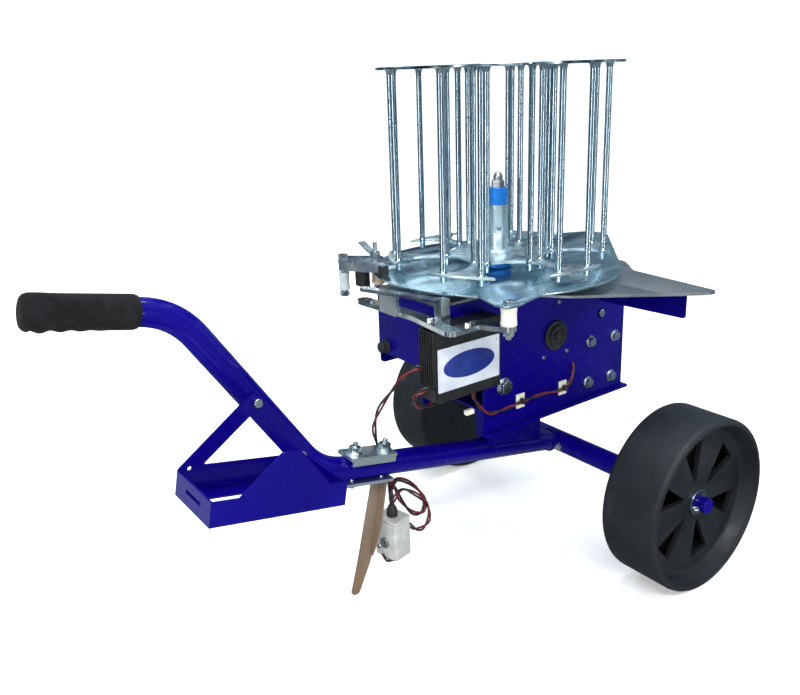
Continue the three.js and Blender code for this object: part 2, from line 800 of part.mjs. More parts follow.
// The deck is the hull of the big round under the magazine and a small one over the arm shaft.
function deck() {
  const centre = [-150, 3];
  const tail = [134, 56];
  const tailR = 40;
  const dx = tail[0] - centre[0];
  const dy = tail[1] - centre[1];
  const along = Math.atan2(dy, dx);
  const spread = Math.acos((DECK_R - tailR) / Math.hypot(dx, dy));
  const shape = new THREE.Shape();
  shape.absarc(...centre, DECK_R, along + spread, along - spread + 2 * Math.PI, false);
  shape.absarc(...tail, tailR, along - spread, along + spread, false);
  const plate = levelPlate(shape, DECK_Z, DECK_T, 20);
  const lug = levelPlate(
    rounded([
      [LUG[0] - 14, LUG[1] - 12, 8],
      [LUG[0] + 16, LUG[1] - 12, 8],
      [LUG[0] + 60, LUG[1] + 10, 2],
      [LUG[0] + 20, LUG[1] + 50, 2],
      [LUG[0] - 16, LUG[1] + 14, 6],
    ]),
    DECK_Z,
    DECK_T,
  );
  const drop = polar(STACK_CENTRE_R, FIRST_ARM_ANGLE + Math.PI / 6);
  let body = join(plate, lug);
  DECK_POSTS.forEach(([x, y]) => {
    body = join(body, bar("z", 7, THROW_PLATE_Z + THROW_PLATE_T + GAP, DECK_Z + 1, x, y, 16));
  });
  body = cut(body, bar("z", 58, DECK_Z - 1, DECK_Z + 5, ...drop, 48));
  body = cut(body, bar("z", BOLT_R + GAP, DECK_Z - 1, DECK_Z + 5, ...LUG, 16));
  body = cut(body, bar("z", 14, DECK_Z - 1, DECK_Z + 5, ...ROLLER_REAR, 24));
  return cut(body, bar("z", 10 + GAP, DECK_Z - 1, DECK_Z + 5, HUB_X, HUB_Y, 24));
}

add("deck_plate", deck(), ZINC);

// ---------- carousel magazine ----------
function starOutline(reach) {
  const shape = new THREE.Shape();
  const openHalf = Math.acos(
    (STACK_CENTRE_R ** 2 + reach ** 2 - STACK_BORE_R ** 2) / (2 * STACK_CENTRE_R * reach),
  );
  const pitch = (2 * Math.PI) / STACKS;
  for (let i = 0; i < STACKS; i += 1) {
    const arm = FIRST_ARM_ANGLE + i * pitch;
    const pocket = arm + pitch / 2;
    shape.absarc(HUB_X, HUB_Y, reach, arm - pitch / 2 + openHalf, pocket - openHalf, false);
    const [px, py] = polar(STACK_CENTRE_R, pocket);
    const [ex, ey] = polar(reach, pocket - openHalf);
    const [fx, fy] = polar(reach, pocket + openHalf);
    shape.absarc(px, py, STACK_BORE_R, Math.atan2(ey - py, ex - px), Math.atan2(fy - py, fx - px), true);
  }
  return shape;
}

function rodPositions() {
  const places = [];
  const pitch = (2 * Math.PI) / STACKS;
  for (let i = 0; i < STACKS; i += 1) {
    const arm = FIRST_ARM_ANGLE + i * pitch;
    const pocket = arm + pitch / 2;
    [-1, 1].forEach((side) => {
      places.push(polar(OUTER_ROD_RING, arm + side * OUTER_ROD_HALF_ANGLE));
      places.push(polar(INNER_ROD_RING, pocket + side * INNER_ROD_HALF_ANGLE));
    });
  }
  return places;
}

function magazineCage() {
  let body = levelPlate(starOutline(178), STAR_Z, STAR_T, 7);
  rodPositions().forEach((place) => {
    body = join(body, bar("z", ROD_R, ROD_FOOT_Z, TOP_STAR_Z - GAP, ...place, 10));
  });
  return cut(body, bar("z", 15 + GAP, STAR_Z - 1, STAR_Z + 6, HUB_X, HUB_Y, 28));
}

function topStar() {
  const plate = levelPlate(starOutline(188), TOP_STAR_Z, STAR_T, 7);
  return cut(plate, bar("z", 34, TOP_STAR_Z - 1, TOP_STAR_Z + 6, HUB_X, HUB_Y, 32));
}

const onHub = (body) => body.translate([HUB_X, HUB_Y, 0]);

function hubTube() {
  const profile = [
    [10, DECK_Z - 5],
    [10, DECK_Z + DECK_T + 1],
    [15, DECK_Z + DECK_T + 1],
    [15, STAR_Z + STAR_T + GAP],
    [23, STAR_Z + STAR_T + GAP],
    [23, STAR_Z + STAR_T + 4],
    [15.4, STAR_Z + STAR_T + 4],
    [15.4, 603],
    [6, 603],
    [6, DECK_Z - 5],
  ];
  return onHub(turned(profile, 32));
}

function hubRing() {
  const profile = [
    [15 + GAP, DECK_Z + DECK_T + GAP],
    [21, DECK_Z + DECK_T + GAP],
    [21, STAR_Z - GAP],
    [15 + GAP, STAR_Z - GAP],
  ];
  return onHub(turned(profile, 32));
}

function hubBand() {
  const profile = [
    [6, 603 + GAP],
    [15.6, 603 + GAP],
    [15.6, 607],
    [14.6, 608],
    [14.6, 611],
    [15.6, 612],
    [15.6, 621],
    [14.6, 622],
    [14.6, 625],
    [15.6, 626],
    [15.6, 630],
    [6, 630],
  ];
  return onHub(turned(profile, 32));
}

function hubNut() {
  const profile = [
    [0, 630 + GAP],
    [10.5, 630 + GAP],
    [10.5, 643],
    [8, 650],
    [4, 653.5],
    [0, 654.5],
  ];
  return onHub(turned(profile, 24));
}

add("magazine_star_and_rods", magazineCage(), ZINC);
add("magazine_top_star", topStar(), ZINC);
add("magazine_hub_tube", hubTube(), ALLOY);
add("magazine_hub_ring", hubRing(), BRIGHT_BLUE);
add("magazine_hub_band", hubBand(), BRIGHT_BLUE);
add("magazine_hub_nut", hubNut(), STEEL);

// ---------- index mechanism at the front of the deck ----------
const LEVER_Z = 463;
const LEVER_T = 7;
const POST = [-352, -105];

// A flat bar in the level plane through a list of points.
function flatBar(points, halfWidth, z, thickness) {
  let body = null;
  for (let i = 0; i + 1 < points.length; i += 1) {
    const [ax, ay] = points[i];
    const [bx, by] = points[i + 1];
    const length = Math.hypot(bx - ax, by - ay);
    const g = new THREE.BoxGeometry(length, 2 * halfWidth, thickness);
    g.rotateZ(Math.atan2(by - ay, bx - ax));
    g.translate((ax + bx) / 2, (ay + by) / 2, z + thickness / 2);
    const run = join(solid(g), bar("z", halfWidth, z, z + thickness, bx, by, 16));
    body = body ? join(body, run) : join(run, bar("z", halfWidth, z, z + thickness, ax, ay, 16));
  }
  return body;
}

function indexLever() {
  const bottom = flatBar([[-370, 66], [-361, -60], [-372, -148], [-322, -146], LUG], 11, LEVER_Z, LEVER_T);
  const post = block(POST[0] - 8, POST[0] + 8, POST[1] - 8, POST[1] + 8, LEVER_Z + 1, 502);
  const web = block(-380, -374, -32, 10, LEVER_Z + 1, 499);
  const top = flatBar([POST, [-396, 26]], 7, 496, 5);
  const bore = bar("z", BOLT_R + GAP, LEVER_Z - 1, LEVER_Z + LEVER_T + 1, ...LUG, 16);
  return cut(join(bottom, post, web, top), bore);
}

function nylonSpacer() {
  const z0 = LEVER_Z + LEVER_T + GAP;
  return cut(bar("z", 11.5, z0, DECK_Z - GAP, ...LUG, 28), bar("z", BOLT_R + GAP, z0 - 1, DECK_Z, ...LUG, 16));
}

function spacerBolt() {
  const under = LEVER_Z - GAP;
  const over = DECK_Z + DECK_T + GAP;
  const shank = bar("z", BOLT_R, under - 13, over + 1, ...LUG, 16);
  const nut = bar("z", 8, under - 8, under, ...LUG, 6);
  const head = bar("z", 8.5, over, over + 5, ...LUG, 6);
  return join(shank, nut, head);
}

const BRACKET_Z = 519;
const SLOPED_STRIP = [-314, 112]; // foot of the strip that rises from the bracket

// Bracket on the deck edge that carries the two guide rollers.
function rollerBracket() {
  const plate = levelPlate(
    rounded([
      [-379, 126, 5],
      [-338, 62, 6],
      [-326, 64, 3],
      [-304, 106, 6],
      [-350, 152, 8],
    ]),
    BRACKET_Z,
    4,
  );
  const foot = block(-339, -327, 58, 80, DECK_Z + DECK_T + GAP, BRACKET_Z + 1);
  const web = block(-350, -341, 92, 118, 478, BRACKET_Z + 1);
  const fold = flatBar([[-374, 127], [-338, 68]], 2, BRACKET_Z - 13, 16);
  const bolt = bar("z", 4, BRACKET_Z + 1, BRACKET_Z + 26, ...SLOPED_STRIP, 12);
  const nut = bar("z", 8, BRACKET_Z + 3, BRACKET_Z + 11, ...SLOPED_STRIP, 6);
  const strip = block(-6, 6, -4, 44, 0, 3).rotate([24, 0, 0]).translate([...SLOPED_STRIP, BRACKET_Z + 2]);
  const frontAxle = bar("z", 4, 468, BRACKET_Z + 12, ...ROLLER_FRONT, 16);
  const frontHead = bar("z", 8, BRACKET_Z + 3, BRACKET_Z + 12, ...ROLLER_FRONT, 6);
  const rearAxle = bar("z", 4, 476, BRACKET_Z + 1, ...ROLLER_REAR, 16);
  const frontKeeper = bar("z", 8, 462, 469, ...ROLLER_FRONT, 6);
  const rearKeeper = bar("z", 8, 470, 477, ...ROLLER_REAR, 6);
  const axles = join(frontAxle, frontHead, rearAxle, frontKeeper, rearKeeper);
  return join(plate, foot, web, fold, bolt, nut, strip, axles);
}

function roller([x, y], z0, z1, r) {
  return cut(bar("z", r, z0, z1, x, y, 24), bar("z", 4 + GAP, z0 - 1, z1 + 1, x, y, 16));
}

add("index_lever", indexLever(), ZINC);
add("nylon_spacer", nylonSpacer(), NYLON);
add("spacer_bolt", spacerBolt(), ZINC);
add("roller_bracket", rollerBracket(), ZINC);
add("guide_roller_front", roller(ROLLER_FRONT, 472, 502, 9), NYLON);
add("guide_roller_rear", roller(ROLLER_REAR, 480, 516, 11), NYLON);

// ---------- control box and wiring ----------
const BOX = { x0: -378, x1: -249, y0: -116, y1: -BODY_SIDE_Y - GAP, z0: 349, z1: 460 };

function controlBox() {
  let body = block(BOX.x0, BOX.x1, BOX.y0, BOX.y1, BOX.z0, BOX.z1);
  for (let i = 0; i < 5; i += 1) {
    const y = BOX.y0 + 5 + i * 6.4;
    body = cut(body, block(BOX.x0 - 1, BOX.x0 + 7, y, y + 3, BOX.z0 + 6, BOX.z1 + 1));
  }
  return body;
}

function controlLabel() {
  const y = BOX.y0 - GAP;
  const shape = rounded([
    [BOX.x0 + 7, 366, 2],
    [BOX.x1 - 4, 366, 2],
    [BOX.x1 - 4, 432, 2],
    [BOX.x0 + 7, 432, 2],
  ]);
  return sidePlate(shape, y - 1, y);
}

const SWITCH = [-374, 6];
const SWITCH_HALF = [19, 23];
const SWITCH_TURN = 12; // degrees about its own upright axis
const SWITCH_Z = [48, 117];
const BOOT_TOP = 136;
const TOGGLE_Z = 76;

// Switch parts are drawn about their own upright axis, then turned and put in place.
const atSwitch = (body) => body.rotate([0, 0, SWITCH_TURN]).translate([...SWITCH, 0]);

function switchBox() {
  const [halfX, halfY] = SWITCH_HALF;
  const [z0, z1] = SWITCH_Z;
  const shell = levelPlate(
    rounded([
      [-halfX, -halfY, 4],
      [halfX, -halfY, 4],
      [halfX, halfY, 4],
      [-halfX, halfY, 4],
    ]),
    z0,
    z1 - z0,
    3,
  );
  const boot = bar("z", 9, z1 - 1, BOOT_TOP, 0, 0, 20);
  const ring = bar("x", 9, -halfX - 4, -halfX + 1, 0, TOGGLE_Z, 24);
  const bore = bar("x", 5, -halfX - 5, -halfX + 3, 0, TOGGLE_Z, 20);
  return atSwitch(cut(join(shell, boot, ring), bore));
}

function switchToggle() {
  const face = -SWITCH_HALF[0];
  const root = bar("x", 2.6, face - 13, face + 2, 0, TOGGLE_Z, 16);
  const tip = solid(new THREE.SphereGeometry(4, 12, 8).translate(face - 13, 0, TOGGLE_Z));
  return atSwitch(join(root, tip));
}

function tieMount(x, z) {
  const face = -BODY_SIDE_Y - GAP;
  return block(x - 9, x + 9, face - 2.4, face, z - 13, z + 11);
}

const WIRE_Y = BOX.y1 - 5.4;

add("control_box", controlBox(), BLACK);
add("control_label", controlLabel(), LABEL);
add(
  "switch_cable",
  cable(
    [
      [BOX.x0 - GAP, -92, 402],
      [-396, -88, 402],
      [-410, -66, 372],
      [-408, -20, 320],
      [-384, 32, 262],
      [-366, 40, 205],
      [-362, 30, 165],
      [...SWITCH, 150],
      [...SWITCH, BOOT_TOP + GAP],
    ],
    3,
    30,
  ),
  BLACK,
);
add(
  "side_wire",
  cable(
    [
      [-284, -98, BOX.z0 - 1.5],
      [-281, -92, 326],
      [-248, WIRE_Y, 292],
      [-207, WIRE_Y, 288],
      [-174, WIRE_Y, 291],
      [-128, WIRE_Y, 291],
      [-76, WIRE_Y, 288],
      [-56, WIRE_Y, 302],
      [-50, WIRE_Y, 322],
    ],
    1.9,
    26,
    6,
  ),
  RED,
);
add("cable_mount_front", tieMount(-173, 292), NYLON);
add("cable_mount_rear", tieMount(-74, 289), NYLON);
add("switch_box", switchBox(), GREY_BOX);
add("switch_toggle", switchToggle(), STEEL);

// The origin goes to the ground under the middle of the whole length.
const extent = new THREE.Box3().setFromObject(group);
const middle = (extent.min.x + extent.max.x) / 2;
group.children.forEach((mesh) => mesh.geometry.translate(-middle, 0, -extent.min.z));

export default group;
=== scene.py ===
"""Looks for the clay target thrower: a node material for every surface, and finer pieces
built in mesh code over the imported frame. Lengths are in millimetres until at() turns them
into metres of the row frame."""
import math

import bmesh
import bpy
from mathutils import Matrix, Vector


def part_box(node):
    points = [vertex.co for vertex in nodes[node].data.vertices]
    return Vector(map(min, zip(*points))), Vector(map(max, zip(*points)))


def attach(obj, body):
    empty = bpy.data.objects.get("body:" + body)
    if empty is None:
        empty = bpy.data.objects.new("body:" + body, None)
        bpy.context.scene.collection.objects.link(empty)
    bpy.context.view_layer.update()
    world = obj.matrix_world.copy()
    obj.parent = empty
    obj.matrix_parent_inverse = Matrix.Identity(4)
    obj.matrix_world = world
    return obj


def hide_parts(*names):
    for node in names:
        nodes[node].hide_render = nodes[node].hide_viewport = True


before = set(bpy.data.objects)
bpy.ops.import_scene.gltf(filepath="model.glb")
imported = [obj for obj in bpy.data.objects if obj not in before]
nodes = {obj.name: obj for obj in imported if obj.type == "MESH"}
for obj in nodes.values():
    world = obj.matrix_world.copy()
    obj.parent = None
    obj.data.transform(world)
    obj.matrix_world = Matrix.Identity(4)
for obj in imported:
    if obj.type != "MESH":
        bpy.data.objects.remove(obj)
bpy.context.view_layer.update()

MM = 0.001
TAU = 2 * math.pi


def middle(node):
    """The middle of a CAD node's box."""
    low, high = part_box(node)
    return (low + high) / 2


AXLE = middle("axle_tube")
WHEEL_R = 142
WHEEL_FACE_Y = 326
SLOPE = math.radians(11.1)
HUB = (-158, -12)
SHAFT = (42, 10)
SPACER = (-300, -186)
ROLLER_FRONT = (-365, 130)
ROLLER_REAR = (-318, 100)
BOLT_BORE_R = 4.3
TUBE_R = 19
HANDLE_HEIGHT = 245.7
HOUSING_SIDE_Y = -80.1


def at(x, y, z):
    """A point measured from the ground under the axle's middle."""
    return Vector((AXLE.x + x * MM, y * MM, z * MM))


def on_bar(x, y, z):
    """A point measured along the sloping drawbar from the axle's middle."""
    c, s = math.cos(SLOPE), math.sin(SLOPE)
    return at(x * c + z * s, y, WHEEL_R + z * c - x * s)


# ---------- materials ----------
class Look:
    """A principled material fed by procedural textures laid out in metres."""

    def __init__(self, name, **values):
        self.material = bpy.data.materials.new(name)
        self.material.use_nodes = True
        self.tree = self.material.node_tree
        self.shader = self.tree.nodes["Principled BSDF"]
        for key, value in values.items():
            self.shader.inputs[key.replace("_", " ")].default_value = value
        self.place = self.tree.nodes.new("ShaderNodeTexCoord").outputs["Object"]
        self.normal = None

    def stretched(self, stretch):
        if stretch is None:
            return self.place
        mapping = self.tree.nodes.new("ShaderNodeMapping")
        mapping.inputs["Scale"].default_value = stretch
        self.tree.links.new(self.place, mapping.inputs["Vector"])
        return mapping.outputs["Vector"]

    def noise(self, scale, detail=4.0, roughness=0.55, stretch=None, distortion=0.0):
        node = self.tree.nodes.new("ShaderNodeTexNoise")
        node.inputs["Scale"].default_value = scale
        node.inputs["Detail"].default_value = detail
        node.inputs["Roughness"].default_value = roughness
        node.inputs["Distortion"].default_value = distortion
        self.tree.links.new(self.stretched(stretch), node.inputs["Vector"])
        return node.outputs["Fac"]

    def cells(self, scale, feature="F1"):
        node = self.tree.nodes.new("ShaderNodeTexVoronoi")
        node.feature = feature
        node.inputs["Scale"].default_value = scale
        self.tree.links.new(self.place, node.inputs["Vector"])
        return node.outputs["Distance"]

    def height(self):
        """The point's height above the ground in metres."""
        node = self.tree.nodes.new("ShaderNodeSeparateXYZ")
        self.tree.links.new(self.place, node.inputs["Vector"])
        return node.outputs["Z"]

    def spread(self, source, low, high, out_low=0.0, out_high=1.0):
        """Stretches the band low..high of a texture over out_low..out_high."""
        node = self.tree.nodes.new("ShaderNodeMapRange")
        node.inputs["From Min"].default_value = low
        node.inputs["From Max"].default_value = high
        node.inputs["To Min"].default_value = out_low
        node.inputs["To Max"].default_value = out_high
        self.tree.links.new(source, node.inputs["Value"])
        return node.outputs["Result"]

    def mixed(self, fac, first, second):
        """A colour between two; either may be a socket."""
        node = self.tree.nodes.new("ShaderNodeMix")
        node.data_type = "RGBA"
        self.tree.links.new(fac, node.inputs["Factor"])
        for value, socket in ((first, node.inputs[6]), (second, node.inputs[7])):
            if isinstance(value, bpy.types.NodeSocket):
                self.tree.links.new(value, socket)
            else:
                socket.default_value = (*value, 1.0)
        return node.outputs[2]

    def feed(self, name, source):
        self.tree.links.new(source, self.shader.inputs[name])

    def bump(self, source, depth_mm, strength=1.0):
        """Adds one layer of relief."""
        node = self.tree.nodes.new("ShaderNodeBump")
        node.inputs["Strength"].default_value = strength
        node.inputs["Distance"].default_value = depth_mm * MM
        self.tree.links.new(source, node.inputs["Height"])
        if self.normal:
            self.tree.links.new(self.normal, node.inputs["Normal"])
        self.normal = node.outputs["Normal"]
        self.feed("Normal", self.normal)


def blue_paint():
    look = Look("blue_powder_coat", Coat_Weight=0.3, Coat_Roughness=0.04, Specular_IOR_Level=0.05)
    tone = look.spread(look.noise(5, 3), 0.35, 0.65)
    look.feed("Base Color", look.mixed(tone, (0.002, 0.0003, 0.10), (0.004, 0.0008, 0.15)))
    look.feed("Roughness", look.spread(look.noise(60, 5), 0.3, 0.7, 0.22, 0.34))
    look.bump(look.noise(520, 2), 0.02, 0.2)
    look.bump(look.noise(45, 2), 0.06, 0.06)
    return look.material


def zinc(name, cool, warm, rough_low, rough_high, streak=(1, 1, 1), streak_mm=0.05):
    """Bright zinc plate: cool and warm clouds, uneven gloss and fine drag marks."""
    look = Look(name, Metallic=1.0)
    clouds = look.spread(look.noise(14, 5, distortion=0.6), 0.36, 0.64)
    grey = look.mixed(clouds, cool, warm)
    marks = look.spread(look.noise(260, 3, stretch=streak), 0.55, 0.8)
    look.feed("Base Color", look.mixed(marks, grey, tuple(0.72 * c for c in cool)))
    gloss = look.noise(38, 6, stretch=streak)
    look.feed("Roughness", look.spread(gloss, 0.32, 0.68, rough_low, rough_high))
    look.bump(look.noise(340, 4, stretch=streak), streak_mm, 0.5)
    look.bump(look.noise(35, 2), 0.12, 0.06)
    return look.material


def stake_steel():
    look = Look("stake_steel", Metallic=0.45)
    low_end = look.spread(look.height(), 0.0, 0.2, 0.8, 0.1)
    stain = look.spread(look.noise(22, 5, stretch=(1, 1, 0.3)), 0.35, 0.7)
    plain = look.mixed(stain, (0.30, 0.25, 0.20), (0.20, 0.145, 0.10))
    look.feed("Base Color", look.mixed(low_end, plain, (0.26, 0.155, 0.085)))
    look.feed("Roughness", look.spread(look.noise(90, 5), 0.3, 0.7, 0.28, 0.46))
    look.bump(look.noise(700, 3, stretch=(1, 1, 0.2)), 0.05, 0.5)
    return look.material


def wheel_plastic():
    look = Look("wheel_plastic", Specular_IOR_Level=0.32)
    tone = look.spread(look.noise(9, 4, distortion=0.4), 0.34, 0.66)
    black = look.mixed(tone, (0.006, 0.007, 0.009), (0.012, 0.014, 0.018))
    dust = look.spread(look.noise(30, 8, 0.7), 0.58, 0.86, 0.0, 0.4)
    look.feed("Base Color", look.mixed(dust, black, (0.060, 0.062, 0.068)))
    look.feed("Roughness", look.spread(look.noise(24, 6), 0.3, 0.7, 0.42, 0.66))
    look.bump(look.noise(700, 3), 0.30, 0.7)
    look.bump(look.noise(130, 4), 0.25, 0.25)
    return look.material


def foam_rubber():
    look = Look("foam_rubber", Roughness=0.92, Sheen_Weight=0.02, Specular_IOR_Level=0.12)
    tone = look.spread(look.noise(45, 5), 0.35, 0.65)
    look.feed("Base Color", look.mixed(tone, (0.004, 0.004, 0.0045), (0.010, 0.010, 0.011)))
    look.bump(look.cells(1500), 0.35, 0.55)
    look.bump(look.noise(220, 3), 0.3, 0.4)
    return look.material


def black_plastic(name, shade=0.012, rough_low=0.32, rough_high=0.5):
    look = Look(name)
    tone = look.spread(look.noise(35, 4), 0.35, 0.65)
    dark = (shade, shade, shade * 1.08)
    look.feed("Base Color", look.mixed(tone, dark, tuple(1.9 * c for c in dark)))
    look.feed("Roughness", look.spread(look.noise(70, 5), 0.3, 0.7, rough_low, rough_high))
    look.bump(look.noise(1500, 3), 0.08, 0.4)
    return look.material


def nylon(name, low, high):
    look = Look(name, Subsurface_Weight=0.12, Subsurface_Scale=0.004)
    tone = look.spread(look.noise(70, 4), 0.35, 0.65)
    look.feed("Base Color", look.mixed(tone, low, high))
    look.feed("Roughness", look.spread(look.noise(120, 4), 0.3, 0.7, 0.34, 0.5))
    look.bump(look.noise(700, 3), 0.06, 0.4)
    return look.material


def turned_metal(name, low, high, metallic=1.0):
    """Turned metal with fine rings around the upright axis."""
    look = Look(name, Metallic=metallic)
    rings = look.noise(60, 3, stretch=(0.2, 0.2, 26))
    look.feed("Base Color", look.mixed(look.spread(rings, 0.35, 0.65), low, high))
    look.feed("Roughness", look.spread(look.noise(40, 4), 0.3, 0.7, 0.34, 0.44))
    look.bump(rings, 0.02, 0.2)
    return look.material


def grey_plastic():
    look = Look("grey_plastic")
    tone = look.spread(look.noise(60, 6, distortion=0.5), 0.38, 0.62)
    look.feed("Base Color", look.mixed(tone, (0.33, 0.325, 0.31), (0.42, 0.415, 0.40)))
    look.feed("Roughness", look.spread(look.noise(90, 5), 0.3, 0.7, 0.3, 0.5))
    look.bump(look.noise(900, 3), 0.08, 0.4)
    return look.material


def label_stock(name, low, high, metallic):
    look = Look(name, Metallic=metallic, Coat_Weight=0.2, Coat_Roughness=0.12, Specular_IOR_Level=0.3)
    look.feed("Base Color", look.mixed(look.spread(look.noise(30, 3), 0.35, 0.65), low, high))
    look.feed("Roughness", look.spread(look.noise(80, 3), 0.3, 0.7, 0.26, 0.38))
    look.bump(look.noise(200, 2), 0.03, 0.3)
    return look.material


def wire_sheath(name, low, high):
    look = Look(name, Coat_Weight=0.15)
    look.feed("Base Color", look.mixed(look.spread(look.noise(110, 4), 0.35, 0.65), low, high))
    look.feed("Roughness", look.spread(look.noise(160, 3), 0.3, 0.7, 0.28, 0.45))
    look.bump(look.noise(600, 3), 0.06, 0.4)
    return look.material


BLUE = blue_paint()
# The blue and cyan cast in these zinc colours is painted reflection of sky light over the plating's own
# grey; the deck's strong cyan is painted reflection of the room it mirrors.
ZINC = zinc("zinc_plate", (0.68, 0.75, 0.80), (0.80, 0.82, 0.81), 0.14, 0.30)
ROD_ZINC = zinc("rod_zinc", (0.37, 0.48, 0.55), (0.50, 0.59, 0.65), 0.06, 0.15, (1, 1, 0.05), 0.01)
DECK_ZINC = zinc("deck_zinc", (0.52, 0.70, 0.80), (0.64, 0.80, 0.87), 0.18, 0.32, (0.06, 1, 1), 0.02)
STAR_ZINC = zinc("star_zinc", (0.76, 0.90, 0.93), (0.88, 0.95, 0.95), 0.24, 0.40, streak_mm=0.02)
WING_STEEL = zinc("wing_steel", (0.54, 0.55, 0.57), (0.68, 0.68, 0.67), 0.26, 0.42, (1, 0.05, 1), 0.03)
BARE_STEEL = zinc("bare_steel", (0.42, 0.43, 0.45), (0.56, 0.56, 0.55), 0.28, 0.45)
STAKE = stake_steel()
WHEEL = wheel_plastic()
FOAM = foam_rubber()
BLACK = black_plastic("black_plastic", 0.007)
MOTOR_BLACK = black_plastic("motor_enamel", 0.009, 0.25, 0.4)
RUBBER = black_plastic("black_rubber", 0.010, 0.5, 0.7)
NYLON = nylon("white_nylon", (0.50, 0.49, 0.42), (0.60, 0.59, 0.52))
CLEAR_NYLON = nylon("milky_nylon", (0.34, 0.40, 0.39), (0.46, 0.51, 0.50))
TAN_NYLON = nylon("tan_nylon", (0.62, 0.50, 0.34), (0.76, 0.64, 0.46))
ALLOY = turned_metal("turned_alloy", (0.68, 0.82, 0.88), (0.80, 0.90, 0.94))
ANODISED = turned_metal("blue_anodised", (0.01, 0.15, 0.55), (0.02, 0.26, 0.78), 0.55)
GREY = grey_plastic()
LABEL = label_stock("label_silver", (0.44, 0.47, 0.54), (0.56, 0.58, 0.63), 0.25)
LABEL_BLUE = label_stock("label_blue", (0.004, 0.012, 0.11), (0.008, 0.022, 0.16), 0.0)
RED_WIRE = wire_sheath("red_wire", (0.085, 0.006, 0.006), (0.17, 0.014, 0.012))
BLACK_WIRE = wire_sheath("black_wire", (0.008, 0.008, 0.009), (0.02, 0.02, 0.022))


# ---------- mesh tools ----------
def mesh_of(bm, name):
    bmesh.ops.recalc_face_normals(bm, faces=bm.faces)
    mesh = bpy.data.meshes.new(name)
    bm.to_mesh(mesh)
    bm.free()
    return mesh


def piece(name, bm, material, body, replaces=(), angle=35):
    """Makes an object of a mesh in metres and lets it ride on a body."""
    mesh = mesh_of(bm, name)
    mesh.materials.append(material)
    mesh.shade_smooth()
    mesh.set_sharp_from_angle(angle=math.radians(angle))
    obj = bpy.data.objects.new(name, mesh)
    bpy.context.scene.collection.objects.link(obj)
    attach(obj, body)
    if replaces:
        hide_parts(*replaces)
    return obj


def softened(obj, width_mm, angle=35, segments=2):
    """Rounds the sharp edges of a piece a little."""
    bevel = obj.modifiers.new("edge", "BEVEL")
    bevel.width = width_mm * MM
    bevel.segments = segments
    bevel.limit_method = "ANGLE"
    bevel.angle_limit = math.radians(angle)
    normals = obj.modifiers.new("shade", "WEIGHTED_NORMAL")
    normals.keep_sharp = True
    return obj


def turn_to(axis):
    """A rotation that carries +Z to an axis."""
    return Vector((0, 0, 1)).rotation_difference(Vector(axis)).to_matrix().to_4x4()


def lathe(profile, sides, origin, axis=(0, 0, 1)):
    """A closed outline of [radius, height] in millimetres turned about an axis."""
    bm = bmesh.new()
    rings = []
    for radius, height in profile:
        count = 1 if radius < 1e-6 else sides
        ring = []
        for k in range(count):
            a = TAU * k / sides
            x, y = radius * math.cos(a) * MM, radius * math.sin(a) * MM
            ring.append(bm.verts.new((x, y, height * MM)))
        rings.append(ring)
    for first, second in zip(rings, rings[1:] + rings[:1]):
        if len(first) + len(second) == 2:
            continue
        for k in range(sides):
            n = (k + 1) % sides
            corners = [first[k % len(first)], first[n % len(first)]]
            corners += [second[n % len(second)], second[k % len(second)]]
            bm.faces.new(list(dict.fromkeys(corners)))
    bmesh.ops.transform(bm, matrix=Matrix.Translation(origin) @ turn_to(axis), verts=bm.verts)
    return bm


def sweep(points, radius_mm, sides=16):
    """A round rod through points in metres, closed by flat ends. The radius may be a list."""
    bm = bmesh.new()
    count = len(points)
    radii = radius_mm if isinstance(radius_mm, list) else [radius_mm] * count
    side = None
    rings = []
    for i, point in enumerate(points):
        ahead = (points[min(i + 1, count - 1)] - points[max(i - 1, 0)]).normalized()
        if side is None:
            side = ahead.orthogonal().normalized()
        side = (side - ahead * side.dot(ahead)).normalized()
        other = ahead.cross(side)
        ring = []
        for k in range(sides):
            a = TAU * k / sides
            out = side * math.cos(a) + other * math.sin(a)
            ring.append(bm.verts.new(point + out * radii[i] * MM))
        rings.append(ring)
    for first, second in zip(rings, rings[1:]):
        for k in range(sides):
            n = (k + 1) % sides
            bm.faces.new((first[k], first[n], second[n], second[k]))
    bm.faces.new(rings[0])
    bm.faces.new(rings[-1])
    return bm


def eased(points, steps):
    """A Catmull-Rom curve through points, with steps between each pair."""
    path = []
    last = len(points) - 1
    for i in range(last):
        p0, p1 = points[max(i - 1, 0)], points[i]
        p2, p3 = points[i + 1], points[min(i + 2, last)]
        for k in range(steps):
            t = k / steps
            curve = 2 * p1 + (p2 - p0) * t
            curve += (2 * p0 - 5 * p1 + 4 * p2 - p3) * t * t
            curve += (3 * p1 - p0 - 3 * p2 + p3) * t ** 3
            path.append(0.5 * curve)
    path.append(points[-1])
    return path


def arc(cx, cy, r, start, end, steps):
    """Points along an arc, both ends included."""
    points = []
    for k in range(steps + 1):
        angle = start + (end - start) * k / steps
        points.append((cx + r * math.cos(angle), cy + r * math.sin(angle)))
    return points


def soft_outline(corners, steps=6):
    """A polygon whose corners [x, y, radius] are eased."""
    points = []
    count = len(corners)
    for i, (x, y, r) in enumerate(corners):
        here = Vector((x, y))
        before = Vector(corners[i - 1][:2])
        after = Vector(corners[(i + 1) % count][:2])
        if r == 0:
            points.append((x, y))
            continue
        start = here + (before - here).normalized() * r
        end = here + (after - here).normalized() * r
        for k in range(steps + 1):
            t = k / steps
            p = start * (1 - t) ** 2 + here * 2 * t * (1 - t) + end * t * t
            points.append((p.x, p.y))
    return points


